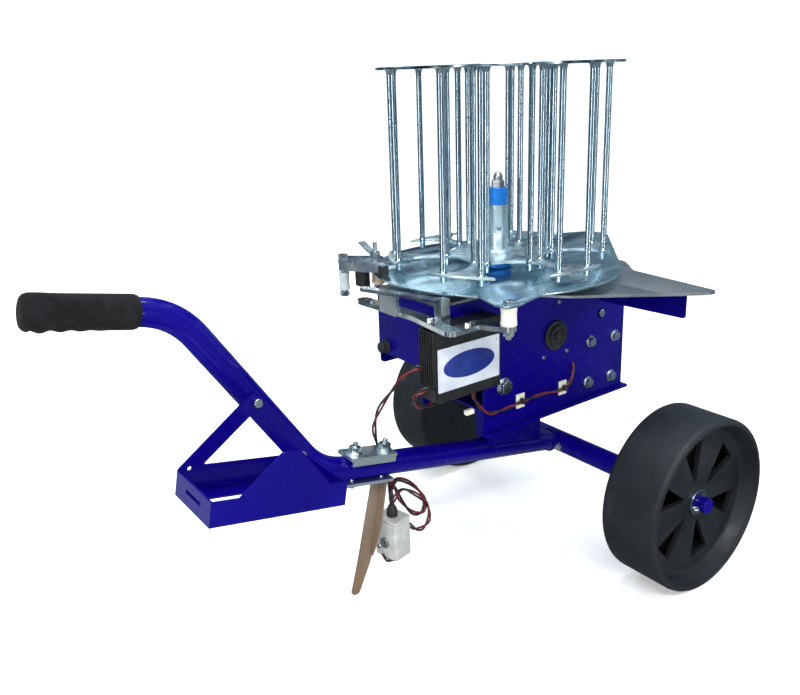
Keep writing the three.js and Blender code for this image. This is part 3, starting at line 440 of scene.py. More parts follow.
def plate(outlines, thickness, edge=0.5):
    """A flat sheet with rounded rims, lying on z = 0: its outer outline, then its holes."""
    curve = bpy.data.curves.new("sheet", "CURVE")
    curve.dimensions = "2D"
    curve.fill_mode = "BOTH"
    curve.extrude = (thickness / 2 - edge) * MM
    curve.bevel_depth = edge * MM
    curve.bevel_resolution = 1
    curve.offset = -edge * MM
    for outline in outlines:
        spline = curve.splines.new("POLY")
        spline.points.add(len(outline) - 1)
        for point, (x, y) in zip(spline.points, outline):
            point.co = (x * MM, y * MM, 0, 1)
        spline.use_cyclic_u = True
    obj = bpy.data.objects.new("sheet", curve)
    bpy.context.scene.collection.objects.link(obj)
    shaped = obj.evaluated_get(bpy.context.evaluated_depsgraph_get())
    mesh = bpy.data.meshes.new_from_object(shaped)
    bm = bmesh.new()
    bm.from_mesh(mesh)
    bpy.data.objects.remove(obj)
    bpy.data.meshes.remove(mesh)
    bmesh.ops.remove_doubles(bm, verts=bm.verts, dist=1e-6)
    bmesh.ops.transform(bm, matrix=Matrix.Translation((0, 0, thickness / 2 * MM)), verts=bm.verts)
    return bm


def level(bm, z):
    """Puts a plate drawn about the axle at height z."""
    bmesh.ops.transform(bm, matrix=Matrix.Translation(at(0, 0, z)), verts=bm.verts)
    return bm


def block(x0, x1, y0, y1, z0, z1):
    """A box between two corners."""
    bm = bmesh.new()
    bmesh.ops.create_cube(bm, size=1)
    size = Vector(((x1 - x0) * MM, (y1 - y0) * MM, (z1 - z0) * MM))
    centre = at((x0 + x1) / 2, (y0 + y1) / 2, (z0 + z1) / 2)
    place = Matrix.Translation(centre) @ Matrix.Diagonal((*size, 1))
    bmesh.ops.transform(bm, matrix=place, verts=bm.verts)
    return bm


def joined(*parts):
    """Several bmeshes as one."""
    whole = parts[0]
    for part in parts[1:]:
        mesh = bpy.data.meshes.new("part")
        part.to_mesh(mesh)
        part.free()
        whole.from_mesh(mesh)
        bpy.data.meshes.remove(mesh)
    return whole


def hexagon(across, height, origin, axis=(0, 0, 1)):
    """A nut or bolt head with its corners turned off."""
    r = across / math.sqrt(3)
    profile = [(0, 0), (r, 0), (r, height * 0.86), (r * 0.9, height), (0, height)]
    return lathe(profile, 6, origin, axis)


# ---------- CAD nodes that keep their shape ----------
def dress(node, material, edge_mm=0.5):
    """Gives a CAD node its material and rounds its sharp edges."""
    obj = nodes[node]
    mesh = obj.data
    mesh.materials.clear()
    mesh.materials.append(material)
    custom = mesh.attributes.get("custom_normal")
    if custom:
        mesh.attributes.remove(custom)
    mesh.shade_smooth()
    weld = obj.modifiers.new("weld", "WELD")
    weld.merge_threshold = 0.00002
    bevel = obj.modifiers.new("edge", "BEVEL")
    bevel.width = edge_mm * MM
    bevel.segments = 2
    bevel.limit_method = "ANGLE"
    bevel.angle_limit = math.radians(32)
    bevel.harden_normals = False
    normals = obj.modifiers.new("shade", "WEIGHTED_NORMAL")
    normals.keep_sharp = True


KEPT = {
    "battery_tray": (BLUE, 0.7),
    "tray_bolt_upper": (ZINC, 0.8),
    "tray_bolt_lower": (ZINC, 0.8),
    # The clamp plates take the lighter star zinc: a painted lighter tone that makes up for the dark room
    # their faces reflect.
    "clamp_plate_upper": (STAR_ZINC, 0.6),
    "clamp_plate_lower": (STAR_ZINC, 0.6),
    "clamp_bolt_front": (ZINC, 0.5),
    "clamp_bolt_rear": (ZINC, 0.5),
    "ground_stake": (STAKE, 0.6),
    "axle_tube": (BLUE, 0.6),
    "axle_bolt": (ZINC, 0.6),
    "axle_stub_far": (BLUE, 1.2),
    "axle_stub_near": (BLUE, 1.2),
    "hub_washer_far": (ZINC, 0.4),
    "hub_washer_near": (ZINC, 0.4),
    "split_pin_far": (ZINC, 0.2),
    "split_pin_near": (ZINC, 0.2),
    "pedestal_bracket": (BLUE, 1.0),
    "housing_near_side": (BLUE, 0.7),
    "housing_far_side": (BLUE, 0.7),
    "housing_base_and_rear": (BLUE, 0.8),
    "housing_front_plate": (BLUE, 0.8),
    "side_bolt_upper_front": (ZINC, 0.5),
    "side_bolt_upper_rear": (ZINC, 0.5),
    "side_bolt_lower_front": (ZINC, 0.5),
    "side_bolt_lower_rear": (ZINC, 0.5),
    "pivot_bolt": (ZINC, 0.8),
    "throwing_plate": (WING_STEEL, 0.5),
    "wing_fin": (BLUE, 0.6),
    "drive_motor": (MOTOR_BLACK, 1.5),
    "gearbox": (BARE_STEEL, 1.0),
    "arm_shaft_and_crank": (BARE_STEEL, 0.6),
    "throwing_arm": (ALLOY, 0.6),
    "arm_rubber": (RUBBER, 0.5),
    "index_lever": (ZINC, 0.6),
    "spacer_bolt": (ZINC, 0.6),
    "roller_bracket": (ZINC, 0.5),
    "cable_mount_front": (NYLON, 0.5),
    "cable_mount_rear": (NYLON, 0.5),
}
for name, (material, edge) in KEPT.items():
    dress(name, material, edge)


# ---------- trolley ----------
def handle_path():
    """The drawbar's centre line: handle, 45 degree riser and long lower run."""
    height, upper, end, bend_r = HANDLE_HEIGHT, -764, -943, 112
    leg = bend_r * math.tan(math.pi / 8)
    diagonal = leg * math.sqrt(0.5)
    lower = upper + height

    def bend(a, b, c):
        points = []
        for k in range(15):
            t = k / 14
            x = a[0] * (1 - t) ** 2 + 2 * b[0] * t * (1 - t) + c[0] * t * t
            z = a[1] * (1 - t) ** 2 + 2 * b[1] * t * (1 - t) + c[1] * t * t
            points.append(on_bar(x, 0, z))
        return points

    top = bend((upper - leg, height), (upper, height), (upper + diagonal, height - diagonal))
    low = bend((lower - diagonal, diagonal), (lower, 0), (lower + leg, 0))
    return [on_bar(end, 0, height), *top, *low, on_bar(-21, 0, 0)]


drawbar = sweep(handle_path(), TUBE_R, 48)
piece("drawbar_tube", drawbar, BLUE, "frame", ["drawbar_handle_tube"])


def weld_ring(name, centre, axis, radius, size):
    """A bead of small overlapping ripples around a joint."""
    turn = turn_to(axis)
    points = []
    radii = []
    count, ripples = 120, 26
    for k in range(count + 1):
        a = TAU * k / count
        local = Vector((radius * math.cos(a) * MM, radius * math.sin(a) * MM, 0))
        points.append(centre + turn @ local)
        radii.append(size * (1 + 0.18 * math.sin(a * ripples)))
    piece(name, sweep(points, radii, 8), BLUE, "frame")


along_bar = (math.cos(SLOPE), 0, -math.sin(SLOPE))
weld_ring("drawbar_weld", on_bar(-19.5, 0, 0), along_bar, TUBE_R, 2.6)


def grip_mesh():
    """Foam grip with a domed end and finger hollows underneath."""
    bm = bmesh.new()
    start, length, sides = -946.5, 136, 64
    profile = [(0.2, 0), (9, 0.1), (14, 0.5), (18, 1.6), (20.6, 3.8), (22, 7)]
    steps = 90
    for k in range(steps + 1):
        along = 9 + (length - 17) * k / steps
        profile.append((22.4, along))
    profile += [(22.0, length - 4), (21.0, length - 1.4), (19.6, length), (19.2, length)]
    rings = []
    for radius, along in profile:
        ring = []
        for j in range(sides):
            a = TAU * j / sides
            under = max(0.0, -math.sin(a)) ** 1.5
            fade = max(0.0, 1 - along / 110)
            bumps = 1.9 * fade * under * math.cos(TAU * along / 23) if along > 9 else 0
            swell = 0.7 * math.exp(-((along - 18) / 16) ** 2)
            r = radius + bumps + swell
            point = on_bar(start + along, r * math.cos(a), HANDLE_HEIGHT + r * math.sin(a))
            ring.append(bm.verts.new(point))
        rings.append(ring)
    for first, second in zip(rings, rings[1:]):
        for j in range(sides):
            n = (j + 1) % sides
            bm.faces.new((first[j], first[n], second[n], second[j]))
    bm.faces.new(rings[0])
    bm.faces.new(rings[-1])
    return bm


piece("foam_grip", grip_mesh(), FOAM, "frame", ["handle_grip"], angle=60)


# ---------- wheels ----------
def wheel_profile():
    """The moulding's section: tread, open back, web and hub. Heights run inwards from its outer face."""
    w = 98
    hub = 24
    return [
        (134, 0), (137, 0.4), (139.6, 1.8), (141.2, 4.2), (142, 8), (142, 30), (142, 68), (142, w - 8),
        (141.2, w - 4.2), (139.6, w - 1.8), (137, w - 0.4), (134, w), (131.5, w - 1), (130.4, w - 3.4),
        (129.5, w - 12), (125, 48), (123.5, 40), (120.5, 36), (116, 34), (27, 34), (24.6, 36.5),
        (24, 40), (24, w - 5), (23, w - 4), (12.8, w - 4), (12.8, hub), (24, hub), (25.6, hub + 0.5),
        (27, hub + 2), (117, hub + 2), (120.5, hub), (122.6, 20), (129.6, 6.5), (129.9, 4.6),
        (131, 4.2), (131.6, 1.4), (132.6, 0.3),
    ]


def wheel_cutters(wedges):
    """One object that holds all the wedges to be cut out of a wheel."""
    obj = bpy.data.objects.new("cutters", mesh_of(joined(*wedges), "cutters"))
    bpy.context.scene.collection.objects.link(obj)
    return obj


def wheel(name, side, body, node):
    """The lathed wheel with its six openings cut through the web."""
    face = at(0, WHEEL_FACE_Y * side, WHEEL_R)
    axis = (0, -side, 0)
    cutters = []
    windows, first_window = 6, 0.35
    for k in range(windows):
        angle = k * TAU / windows + first_window
        corners = []
        for r, a, soft in ((36, -0.07, 1.5), (104, -0.215, 3), (104, 0.215, 3), (36, 0.07, 1.5)):
            corners.append((r * math.cos(angle + a), r * math.sin(angle + a), soft))
        depth = 20
        wedge = plate([soft_outline(corners, 4)], depth, 0.01)
        inward = Matrix.Translation((0, 0, depth * MM))
        place = Matrix.Translation(face) @ turn_to(axis) @ inward
        bmesh.ops.transform(wedge, matrix=place, verts=wedge.verts)
        cutters.append(wedge)
    tool = wheel_cutters(cutters)
    moulding = lathe(wheel_profile(), 144, face, axis)
    obj = piece(name, moulding, WHEEL, body, [node], angle=40)
    boolean = obj.modifiers.new("windows", "BOOLEAN")
    boolean.object = tool
    boolean.operation = "DIFFERENCE"
    boolean.solver = "EXACT"
    depsgraph = bpy.context.evaluated_depsgraph_get()
    cut = bpy.data.meshes.new_from_object(obj.evaluated_get(depsgraph))
    obj.modifiers.clear()
    obj.data = cut
    cut.materials.clear()
    cut.materials.append(WHEEL)
    cut.shade_smooth()
    cut.set_sharp_from_angle(angle=math.radians(40))
    bpy.data.objects.remove(tool)
    return softened(obj, 0.8, 50)


def wheel_back(name, side, body):
    """The dished web that closes the back of the hollow rim."""
    face = [(23, 86), (60, 86), (70, 88), (118, 88), (126, 86), (131.5, 86)]
    thickness = 5
    dish = face + [(radius, along + thickness) for radius, along in reversed(face)]
    web = lathe(dish, 96, at(0, WHEEL_FACE_Y * side, WHEEL_R), (0, -side, 0))
    piece(name, web, WHEEL, body)


wheel("wheel_near_moulding", -1, "near_wheel", "wheel_near")
wheel("wheel_far_moulding", 1, "far_wheel", "wheel_far")
wheel_back("wheel_near_back", -1, "near_wheel")
wheel_back("wheel_far_back", 1, "far_wheel")


# ---------- carousel magazine ----------
STACKS = 6
STACK_R = 131.4
BORE_R = 57.8
FIRST_ARM = math.radians(28.7)
PITCH = TAU / STACKS
TOP_Z = 814
STAR_Z = 522
STAR_T = 4
STAR_REACH = 178
TOP_REACH = 188
ROD_R = 4.7
OUTER_ROD_RING, OUTER_ROD_ANGLE = 167, math.radians(10.2)
INNER_ROD_RING, INNER_ROD_ANGLE = 85.8, math.radians(23)


def polar(radius, angle):
    """A point at a distance and an angle from the magazine's axis."""
    return (HUB[0] + radius * math.cos(angle), HUB[1] + radius * math.sin(angle))


def star(reach):
    """Outline of a star whose pockets are round and whose arms end on a circle."""
    spread = math.acos((STACK_R ** 2 + reach ** 2 - BORE_R ** 2) / (2 * STACK_R * reach))
    points = []
    for i in range(STACKS):
        arm = FIRST_ARM + i * PITCH
        pocket = arm + PITCH / 2
        points += arc(*HUB, reach, arm - PITCH / 2 + spread, pocket - spread, 8)
        cx, cy = polar(STACK_R, pocket)
        sx, sy = polar(reach, pocket - spread)
        ex, ey = polar(reach, pocket + spread)
        start = math.atan2(sy - cy, sx - cx)
        end = math.atan2(ey - cy, ex - cx)
        while end > start:
            end -= TAU
        points += arc(cx, cy, BORE_R, start, end, 40)[1:-1]
    return points


def circle(cx, cy, r, steps=48):
    """Points around a circle, the first not repeated."""
    return arc(cx, cy, r, 0, TAU, steps)[:-1]


lower_star = level(plate([star(STAR_REACH), circle(*HUB, 15.3)], STAR_T), STAR_Z)
upper_star = level(plate([star(TOP_REACH), circle(*HUB, 34)], STAR_T), TOP_Z)
for name, sheet, material, node in (
    ("magazine_bottom_star", lower_star, STAR_ZINC, "magazine_star_and_rods"),
    ("magazine_top_plate", upper_star, ROD_ZINC, "magazine_top_star"),
):
    piece(name, sheet, material, "magazine", [node])


def rod_places():
    """Two rods near the end of each arm and two at the inner side of each pocket."""
    places = []
    for i in range(STACKS):
        arm = FIRST_ARM + i * PITCH
        for side in (-1, 1):
            places.append(polar(OUTER_ROD_RING, arm + side * OUTER_ROD_ANGLE))
            places.append(polar(INNER_ROD_RING, arm + PITCH / 2 + side * INNER_ROD_ANGLE))
    return places


def rod_outline(r):
    """A rod with a weld bead around the lower star and another under the top plate."""
    return [
        (0, 511), (r - 1, 511), (r, 512), (r, 519.4), (r + 1.2, 520.6), (r + 2, 522), (r + 2, 526),
        (r + 1.4, 527.2), (r + 0.4, 528.8), (r, 531), (r, 806), (r + 0.5, 809.5), (r + 1.5, 812.4),
        (r + 2.2, 813.9), (0, 813.9),
    ]


for number, (x, y) in enumerate(rod_places(), 1):
    rod = lathe(rod_outline(ROD_R), 32, at(x, y, 0))
    piece(f"magazine_rod_{number:02d}", rod, ROD_ZINC, "magazine", angle=50)

hub_tube = [
    (10, 493.5), (10, 502), (15, 502), (15, 526.4), (23, 526.4), (23, 529.4), (22.2, 530.2),
    (16.6, 530.2), (15.4, 531.4), (15.4, 556), (15.0, 556.6), (15.0, 558), (15.4, 558.6),
    (15.4, 602.4), (14.8, 603), (6, 603), (6, 493.5),
]
hub_ring = [(15.3, 501.4), (20.2, 501.4), (21, 502.2), (21, 520.8), (20.2, 521.6), (15.3, 521.6)]
hub_band = [
    (6, 603.4), (15, 603.4), (15.7, 604), (15.7, 607), (15.1, 607.6), (15.1, 609.4), (15.7, 610),
    (15.7, 624), (15.1, 624.6), (15.1, 626.4), (15.7, 627), (15.7, 629.4), (15, 630), (6, 630),
]
for name, outline, material, slot in (
    ("hub_tube", hub_tube, ALLOY, "alloy"),
    ("hub_ring", hub_ring, ANODISED, "bright_blue"),
    ("hub_band", hub_band, ANODISED, "bright_blue"),
):
    turned = lathe(outline, 72, at(*HUB, 0))
    piece(f"turned_{name}", turned, material, "magazine", [f"magazine_{name}"])

dome = [(0, 641), (7.4, 641), (7.4, 646), (6.6, 650), (4.6, 653), (2, 654.3), (0, 654.4)]
hub_nut = joined(hexagon(18.4, 11, at(*HUB, 630.2)), lathe(dome, 40, at(*HUB, 0)))
piece("hub_hex_nut", hub_nut, BARE_STEEL, "magazine", ["magazine_hub_nut"], angle=30)
screw = [(0, 0), (3.6, 0), (3.6, 1.2), (2.6, 2.2), (1.6, 2.2), (1.6, 1.4), (0, 1.4)]
hub_screw = lathe(screw, 32, at(HUB[0] - 9, HUB[1] - 12.4, 566), (-0.6, -0.8, 0))
piece("hub_screw", hub_screw, BARE_STEEL, "magazine")


# ---------- deck ----------
def notch_in_rim(centre, rim_r, hole, hole_r):
    """Where a round notch breaks a round rim: its two rim angles and its inner arc."""
    dx, dy = hole[0] - centre[0], hole[1] - centre[1]
    away = math.hypot(dx, dy)
    facing = math.atan2(dy, dx)
    half = math.acos((rim_r ** 2 + away ** 2 - hole_r ** 2) / (2 * rim_r * away))
    turns = []
    for angle in (facing - half, facing + half):
        x = centre[0] + rim_r * math.cos(angle) - hole[0]
        y = centre[1] + rim_r * math.sin(angle) - hole[1]
        turns.append(math.atan2(y, x))
    start, end = turns
    if end > start:
        end -= TAU
    return facing - half, facing + half, arc(*hole, hole_r, start, end, 24)[1:-1]


def deck_outlines():
    """The deck's rim with its roller notch and bolt lug, then its holes."""
    centre, tail, tail_r, deck_r = (-150, 3), (134, 56), 40, 201
    lug = SPACER
    dx, dy = tail[0] - centre[0], tail[1] - centre[1]
    along = math.atan2(dy, dx)
    spread = math.acos((deck_r - tail_r) / math.hypot(dx, dy))
    lug_low = math.radians(220)
    lug_high = math.radians(246)
    notch_low, notch_high, notch = notch_in_rim(centre, deck_r, ROLLER_REAR, 14)
    rim = arc(*centre, deck_r, along + spread, notch_low, 40) + notch
    rim += arc(*centre, deck_r, notch_high, lug_low, 34)
    rim += [(lug[0] - 16, lug[1] + 12), (lug[0] - 15, lug[1] - 4), (lug[0] - 10, lug[1] - 11)]
    rim += [(lug[0], lug[1] - 12), (lug[0] + 15, lug[1] - 11), (lug[0] + 26, lug[1] - 6)]
    rim += arc(*centre, deck_r, lug_high, along - spread + TAU, 40)
    rim += arc(*tail, tail_r, along - spread, along + spread, 24)[1:-1]
    drop = polar(STACK_R, FIRST_ARM + PITCH / 2)
    return [rim, circle(*drop, 58), circle(*lug, BOLT_BORE_R, 24), circle(*HUB, 10.3, 32)]


deck = level(plate(deck_outlines(), 3, 0.4), 498)
# The deck's cyan zinc colour is painted reflection of the room it mirrors.
piece("deck_sheet", deck, DECK_ZINC, "frame", ["deck_plate"])
post = [(0, 482.3), (6.4, 482.3), (7, 483), (7, 497.4), (6.4, 497.9), (0, 497.9)]
for number, y in enumerate((-62, 62), 1):
    piece(f"deck_post_{number}", lathe(post, 32, at(-262, y, 0)), ZINC, "frame")


# ---------- throwing spring ----------
def spring_path():
    """A straight lead, the coil, and a straight lead to the crank."""
    start, end = -205, SHAFT[0] - 22
    y, z = SHAFT[1] + 52, 440
    turns, per_turn, coil_r = 22, 20, 11
    points = [at(start, y, z), at(start + 10, y, z)]
    length = end - start - 40
    for k in range(turns * per_turn + 1):
        a = TAU * k / per_turn
        x = start + 20 + length * k / (turns * per_turn)
        points.append(at(x, y + coil_r * math.sin(a), z + coil_r * math.cos(a)))
    return points + [at(end - 8, y, z), at(end, y, z)]


coil = sweep(spring_path(), 2.2, 10)
piece("spring_coil", coil, BARE_STEEL, "frame", ["throwing_spring"])


# ---------- rollers and spacer ----------
def roller_outline(r, z0, z1):
    """A nylon roller with a shallow waist."""
    return [
        (BOLT_BORE_R, z0), (r - 1, z0), (r, z0 + 1), (r, z0 + 6), (r - 0.5, z0 + 6.6),
        (r - 0.5, z1 - 6.6), (r, z1 - 6), (r, z1 - 1), (r - 1, z1), (BOLT_BORE_R, z1),
    ]


for name, node, body, place, z0, z1, r, material in (
    ("milky_roller", "guide_roller_front", "front_roller", ROLLER_FRONT, 472, 502, 9, CLEAR_NYLON),
    ("tan_roller", "guide_roller_rear", "rear_roller", ROLLER_REAR, 480, 516, 11, TAN_NYLON),
    ("turned_spacer", "nylon_spacer", "frame", SPACER, 470.3, 497.7, 11.5, NYLON),
):
    turned = lathe(roller_outline(r, z0, z1), 56, at(*place, 0))
    piece(name, turned, material, body, [node], angle=50)


# ---------- control box ----------
BOX = {"x0": -378, "x1": -249, "y0": -116, "y1": -80.3, "z0": 349, "z1": 460}


def control_box():
    """Case with cooling fins on its front end."""
    parts = [block(BOX["x0"] + 8, BOX["x1"], BOX["y0"], BOX["y1"], BOX["z0"], BOX["z1"])]
    for k in range(7):
        y = BOX["y0"] + 1.5 + k * 5
        parts.append(block(BOX["x0"], BOX["x0"] + 9, y, y + 2.2, BOX["z0"] + 26, BOX["z1"] - 2))
    return joined(*parts)


case = piece("control_case", control_box(), BLACK, "frame", ["control_box"])
softened(case, 1.0, 40)
terminals = joined(
    block(-377, -369, -112, -86, 353, 372),
    block(-376.5, -369, -108, -101, 373, 382),
    block(-376.5, -369, -97, -90, 373, 382),
)
softened(piece("terminal_block", terminals, RUBBER, "frame"), 0.7, 40)


def stood_up(sheet, x, y, z):
    """Stands a flat sheet upright, facing the near side."""
    stand = Matrix.Translation(at(x, y, z)) @ Matrix.Rotation(math.pi / 2, 4, "X")
    bmesh.ops.transform(sheet, matrix=stand, verts=sheet.verts)
    return sheet


def label_plate():
    """A thin label on the near face of the control box."""
    x0, x1, z0, z1, soft = -371, -253, 366, 432, 2
    corners = [(x0, z0, soft), (x1, z0, soft), (x1, z1, soft), (x0, z1, soft)]
    return stood_up(plate([soft_outline(corners, 8)], 0.9, 0.12), 0, -116.3, 0)


def label_oval():
    """A plain oval of colour on the label."""
    half_width, half_height = 49, 20
    outline = [(x * half_width, z * half_height) for x, z in circle(0, 0, 1, 64)]
    return stood_up(plate([outline], 0.3, 0.05), -312, -117.2, 400)


piece("label_sheet", label_plate(), LABEL, "frame", ["control_label"])
piece("label_oval", label_oval(), LABEL_BLUE, "frame")


# ---------- wiring ----------
SWITCH = (-374, 6)
SWITCH_TURN = math.radians(12)
WIRE_STEPS = 14
PAIR = [("red", RED_WIRE, "wire_sheath"), ("black", BLACK_WIRE, "black_plastic")]


def wires(name, points, radius, spread, turns, replaces=()):
    """A red and a black wire that twist loosely around one path."""
    path = eased([at(*p) for p in points], WIRE_STEPS)
    for number, (label, material, slot) in enumerate(PAIR):
        strand = []
        for i, point in enumerate(path):
            ahead = (path[min(i + 1, len(path) - 1)] - path[max(i - 1, 0)]).normalized()
            side = ahead.cross(Vector((0.3, 0.2, 0.93))).normalized()
            other = ahead.cross(side)
            a = TAU * (number / len(PAIR) + turns * i / len(path))
            offset = (side * math.cos(a) + other * math.sin(a)) * spread * MM
            strand.append(point + offset)
        piece(f"{name}_{label}", sweep(strand, radius, 12), material, "frame", replaces)


switch_lead = [
    (-376, -93, 400), (-392, -90, 402), (-408, -68, 376), (-410, -22, 322), (-386, 30, 262),
    (-368, 40, 205), (-362, 34, 172), (*SWITCH, 150), (*SWITCH, 138),
]
spare_loop = [
    (SWITCH[0] + 2, SWITCH[1] + 3, 136), (-350, 14, 150), (-322, 22, 134), (-292, 22, 104),
    (-287, 20, 76), (-300, 16, 64), (-322, 12, 68), (-344, 10, 88), (-348, 8, 60), (-350, 6, 42),
    (-366, 4, 36), (-384, 4, 38), (-396, 6, 52),
]
coiled_lead = [
    (SWITCH[0] - 1, SWITCH[1] - 3, 136), (-372, 10, 156), (-348, 26, 164), (-312, 34, 140),
    (-290, 30, 108), (-296, 26, 86), (-318, 26, 92), (-338, 30, 120), (-352, 30, 152),
    (-372, 26, 172), (-384, 30, 180),
]
housing_lead = [
    (-284, -98, 347), (-281, -92, 326), (-248, -86, 292), (-207, -86, 288), (-174, -87, 291),
    (-128, -86, 291), (-76, -87, 288), (-56, -86, 302), (-50, -84, 322), (-50, -78, 326),
]
motor_lead = [
    (-374, -100, 372), (-392, -92, 362), (-380, -70, 338), (-350, -60, 322), (-318, -52, 322),
]
wires("switch_lead", switch_lead, 1.9, 2.3, 3, ["switch_cable"])
wires("spare_loop", spare_loop, 1.9, 2.2, 4)
wires("coiled_lead", coiled_lead, 2.1, 2.2, 3)
wires("housing_lead", housing_lead, 1.5, 1.7, 5, ["side_wire"])
wires("motor_lead", motor_lead, 1.8, 2.0, 2)
for name, x, z in (("front", -173, 292), ("rear", -74, 289)):
    tie = joined(
        block(x - 2.2, x + 2.2, -90.5, -82.8, z - 5, z + 4.5),
        block(x - 3.2, x + 3.2, -92.5, -88.5, z - 2.6, z + 3.2),
    )
    softened(piece(f"cable_tie_{name}", tie, RUBBER, "frame"), 0.8, 40)


# ---------- switch box ----------
def at_switch(bm):
    """Turns and places a part drawn about the switch box's own upright axis."""
    place = Matrix.Translation(at(*SWITCH, 0)) @ Matrix.Rotation(SWITCH_TURN, 4, "Z")
    bmesh.ops.transform(bm, matrix=place, verts=bm.verts)
    return bm


def switch_slab(half_x, half_y, soft, z, thickness, edge):
    """A slab with rounded corners whose underside is at height z."""
    signs = ((-1, -1), (1, -1), (1, 1), (-1, 1))
    corners = [(a * half_x, b * half_y, soft) for a, b in signs]
    slab = plate([soft_outline(corners, 6)], thickness, edge)
    bmesh.ops.transform(slab, matrix=Matrix.Translation((0, 0, z * MM)), verts=slab.verts)
    return at_switch(slab)


def switch_parts():
    """Case, lid and foot, a rubber boot over the cable, and the toggle in its bush."""
    case = switch_slab(19, 23, 5, 48, 64, 1.6)
    lid = switch_slab(19.4, 23.4, 5, 112.6, 4.4, 1.2)
    foot = switch_slab(16, 20, 4, 46.2, 2.2, 0.6)
    piece("switch_case", case, GREY, "frame", ["switch_box"], angle=40)
    piece("switch_lid", lid, GREY, "frame", angle=40)
    piece("switch_foot", foot, GREY, "frame", angle=40)
    boot = [
        (0, 116.4), (9, 116.4), (9, 119), (8.2, 119.8), (9, 121), (9, 124), (8.2, 124.8), (8.8, 126),
        (8.4, 129), (7.2, 130), (7.2, 132), (5.5, 135), (4.4, 137), (0, 137),
    ]
    piece("switch_boot", lathe(boot, 40, at(*SWITCH, 0)), RUBBER, "frame")
    face = Vector((-18.8 * MM, 0, 76 * MM))
    outward = (-1, 0, 0)
    bush = [(4.8, 0), (9, 0), (9, 3.6), (8.2, 4.2), (7, 4.2), (6.2, 2.6), (4.8, 2.6)]
    bush_ring = at_switch(lathe(bush, 40, face, outward))
    piece("switch_bush", bush_ring, BARE_STEEL, "frame")
    bat = [
        (0, -1.8), (2.4, -1.8), (2.4, 4), (2.0, 6), (2.6, 10), (3.6, 13.4), (3.9, 15), (3.2, 16.2),
        (0, 17),
    ]
    toggle = at_switch(lathe(bat, 32, face, outward))
    piece("toggle_bat", toggle, BARE_STEEL, "toggle", ["switch_toggle"])


switch_parts()


# ---------- small fittings ----------
def housing_fittings():
    """The cable gland, the round side cover with its screws, and the bolts around them."""
    gland = [(0, 0), (11, 0), (11, 3), (9, 4), (9, 12), (7.6, 13.5), (0, 13.5)]
    turned = lathe(gland, 40, at(-338, 55, 387), (-1, 0, 0))
    piece("front_gland", turned, RUBBER, "frame")
    outward = (0, -1, 0)
    boss = [
        (0, 0.4), (25, 0.4), (25, 3.4), (23, 4.3), (19, 4.3), (18, 8.3), (15.6, 8), (14, 5),
        (7, 4.4), (6, 8), (0, 8.3),
    ]
    cover = lathe(boss, 64, at(-93, HOUSING_SIDE_Y, 385), outward)
    piece("side_boss_cover", cover, RUBBER, "frame", ["side_boss"])
    for number, (x, z) in enumerate(((-88, 441), (-120, 352), (-66, 352)), 1):
        head = hexagon(7, 3, at(x, HOUSING_SIDE_Y, z), outward)
        piece(f"boss_screw_{number}", head, ZINC, "frame")
    for number, (x, y) in enumerate(((-366, -18), (-364, -92), (-372, 40), (-340, -146)), 1):
        head = hexagon(8, 3.4, at(x, y, 470.1))
        piece(f"lever_screw_{number}", head, ZINC, "lever")
    nut = hexagon(13, 5, at(20, -78, 400), outward)
    piece("hidden_nut", nut, ZINC, "frame")


def pads_and_plug():
    """Two pads on the roller bracket and the plug in the housing's wiring."""
    for name, box, material, slot, soft in (
        ("bracket_pad", (-351, -340, 91, 119, 479, 517.5), BLACK, "black_plastic", 1.0),
        ("bracket_edge_pad", (-340, -326.4, 57.4, 81, 501.4, 518), RUBBER, "black_plastic", 1.0),
        ("wire_plug", (-298, -282, -94, -86, 303, 311), NYLON, "nylon", 1.6),
    ):
        softened(piece(name, block(*box), material, "frame"), soft, 40)


def pedestal_welds():
    """A rippled bead along each side of the pedestal's foot."""
    for name, side in (("near", -1), ("far", 1)):
        seam = [on_bar(x, side * 17.4, 10) for x in range(-180, -58, 2)]
        ripple = [2.1 + 0.4 * math.sin(k * 1.3) for k in range(len(seam))]
        piece(f"pedestal_weld_{name}", sweep(seam, ripple, 8), BLUE, "frame")


housing_fittings()
pads_and_plug()
pedestal_welds()


# ---------- stage, light and camera ----------
FLOOR_R = 4200
CURVE_R = 1500
WALL_TOP = 3600
WALL_DARK = (0.02, 0.04, 0.07)
WALL_MID = (0.26, 0.37, 0.44)
WINDOW = (1.15, 1.35, 1.42)
HEIGHT_TINTS = [
    (0.36, (0.85, 0.75, 0.68)),
    (0.44, (0.6, 0.62, 0.64)),
    (0.52, (1, 1, 1)),
    (0.80, (1.2, 1.2, 1.2)),
    (1.0, (2.2, 2.3, 2.4)),
]
CAMERA_PLACE = (-1054.4, -970.4, 813.1)
YAW, PITCH_DOWN, ROLL = 35.474, 16.098, 2.020
SENSOR, LENS = 36, 36.88
SHIFT_X, SHIFT_Y = 0.0093, -0.0505


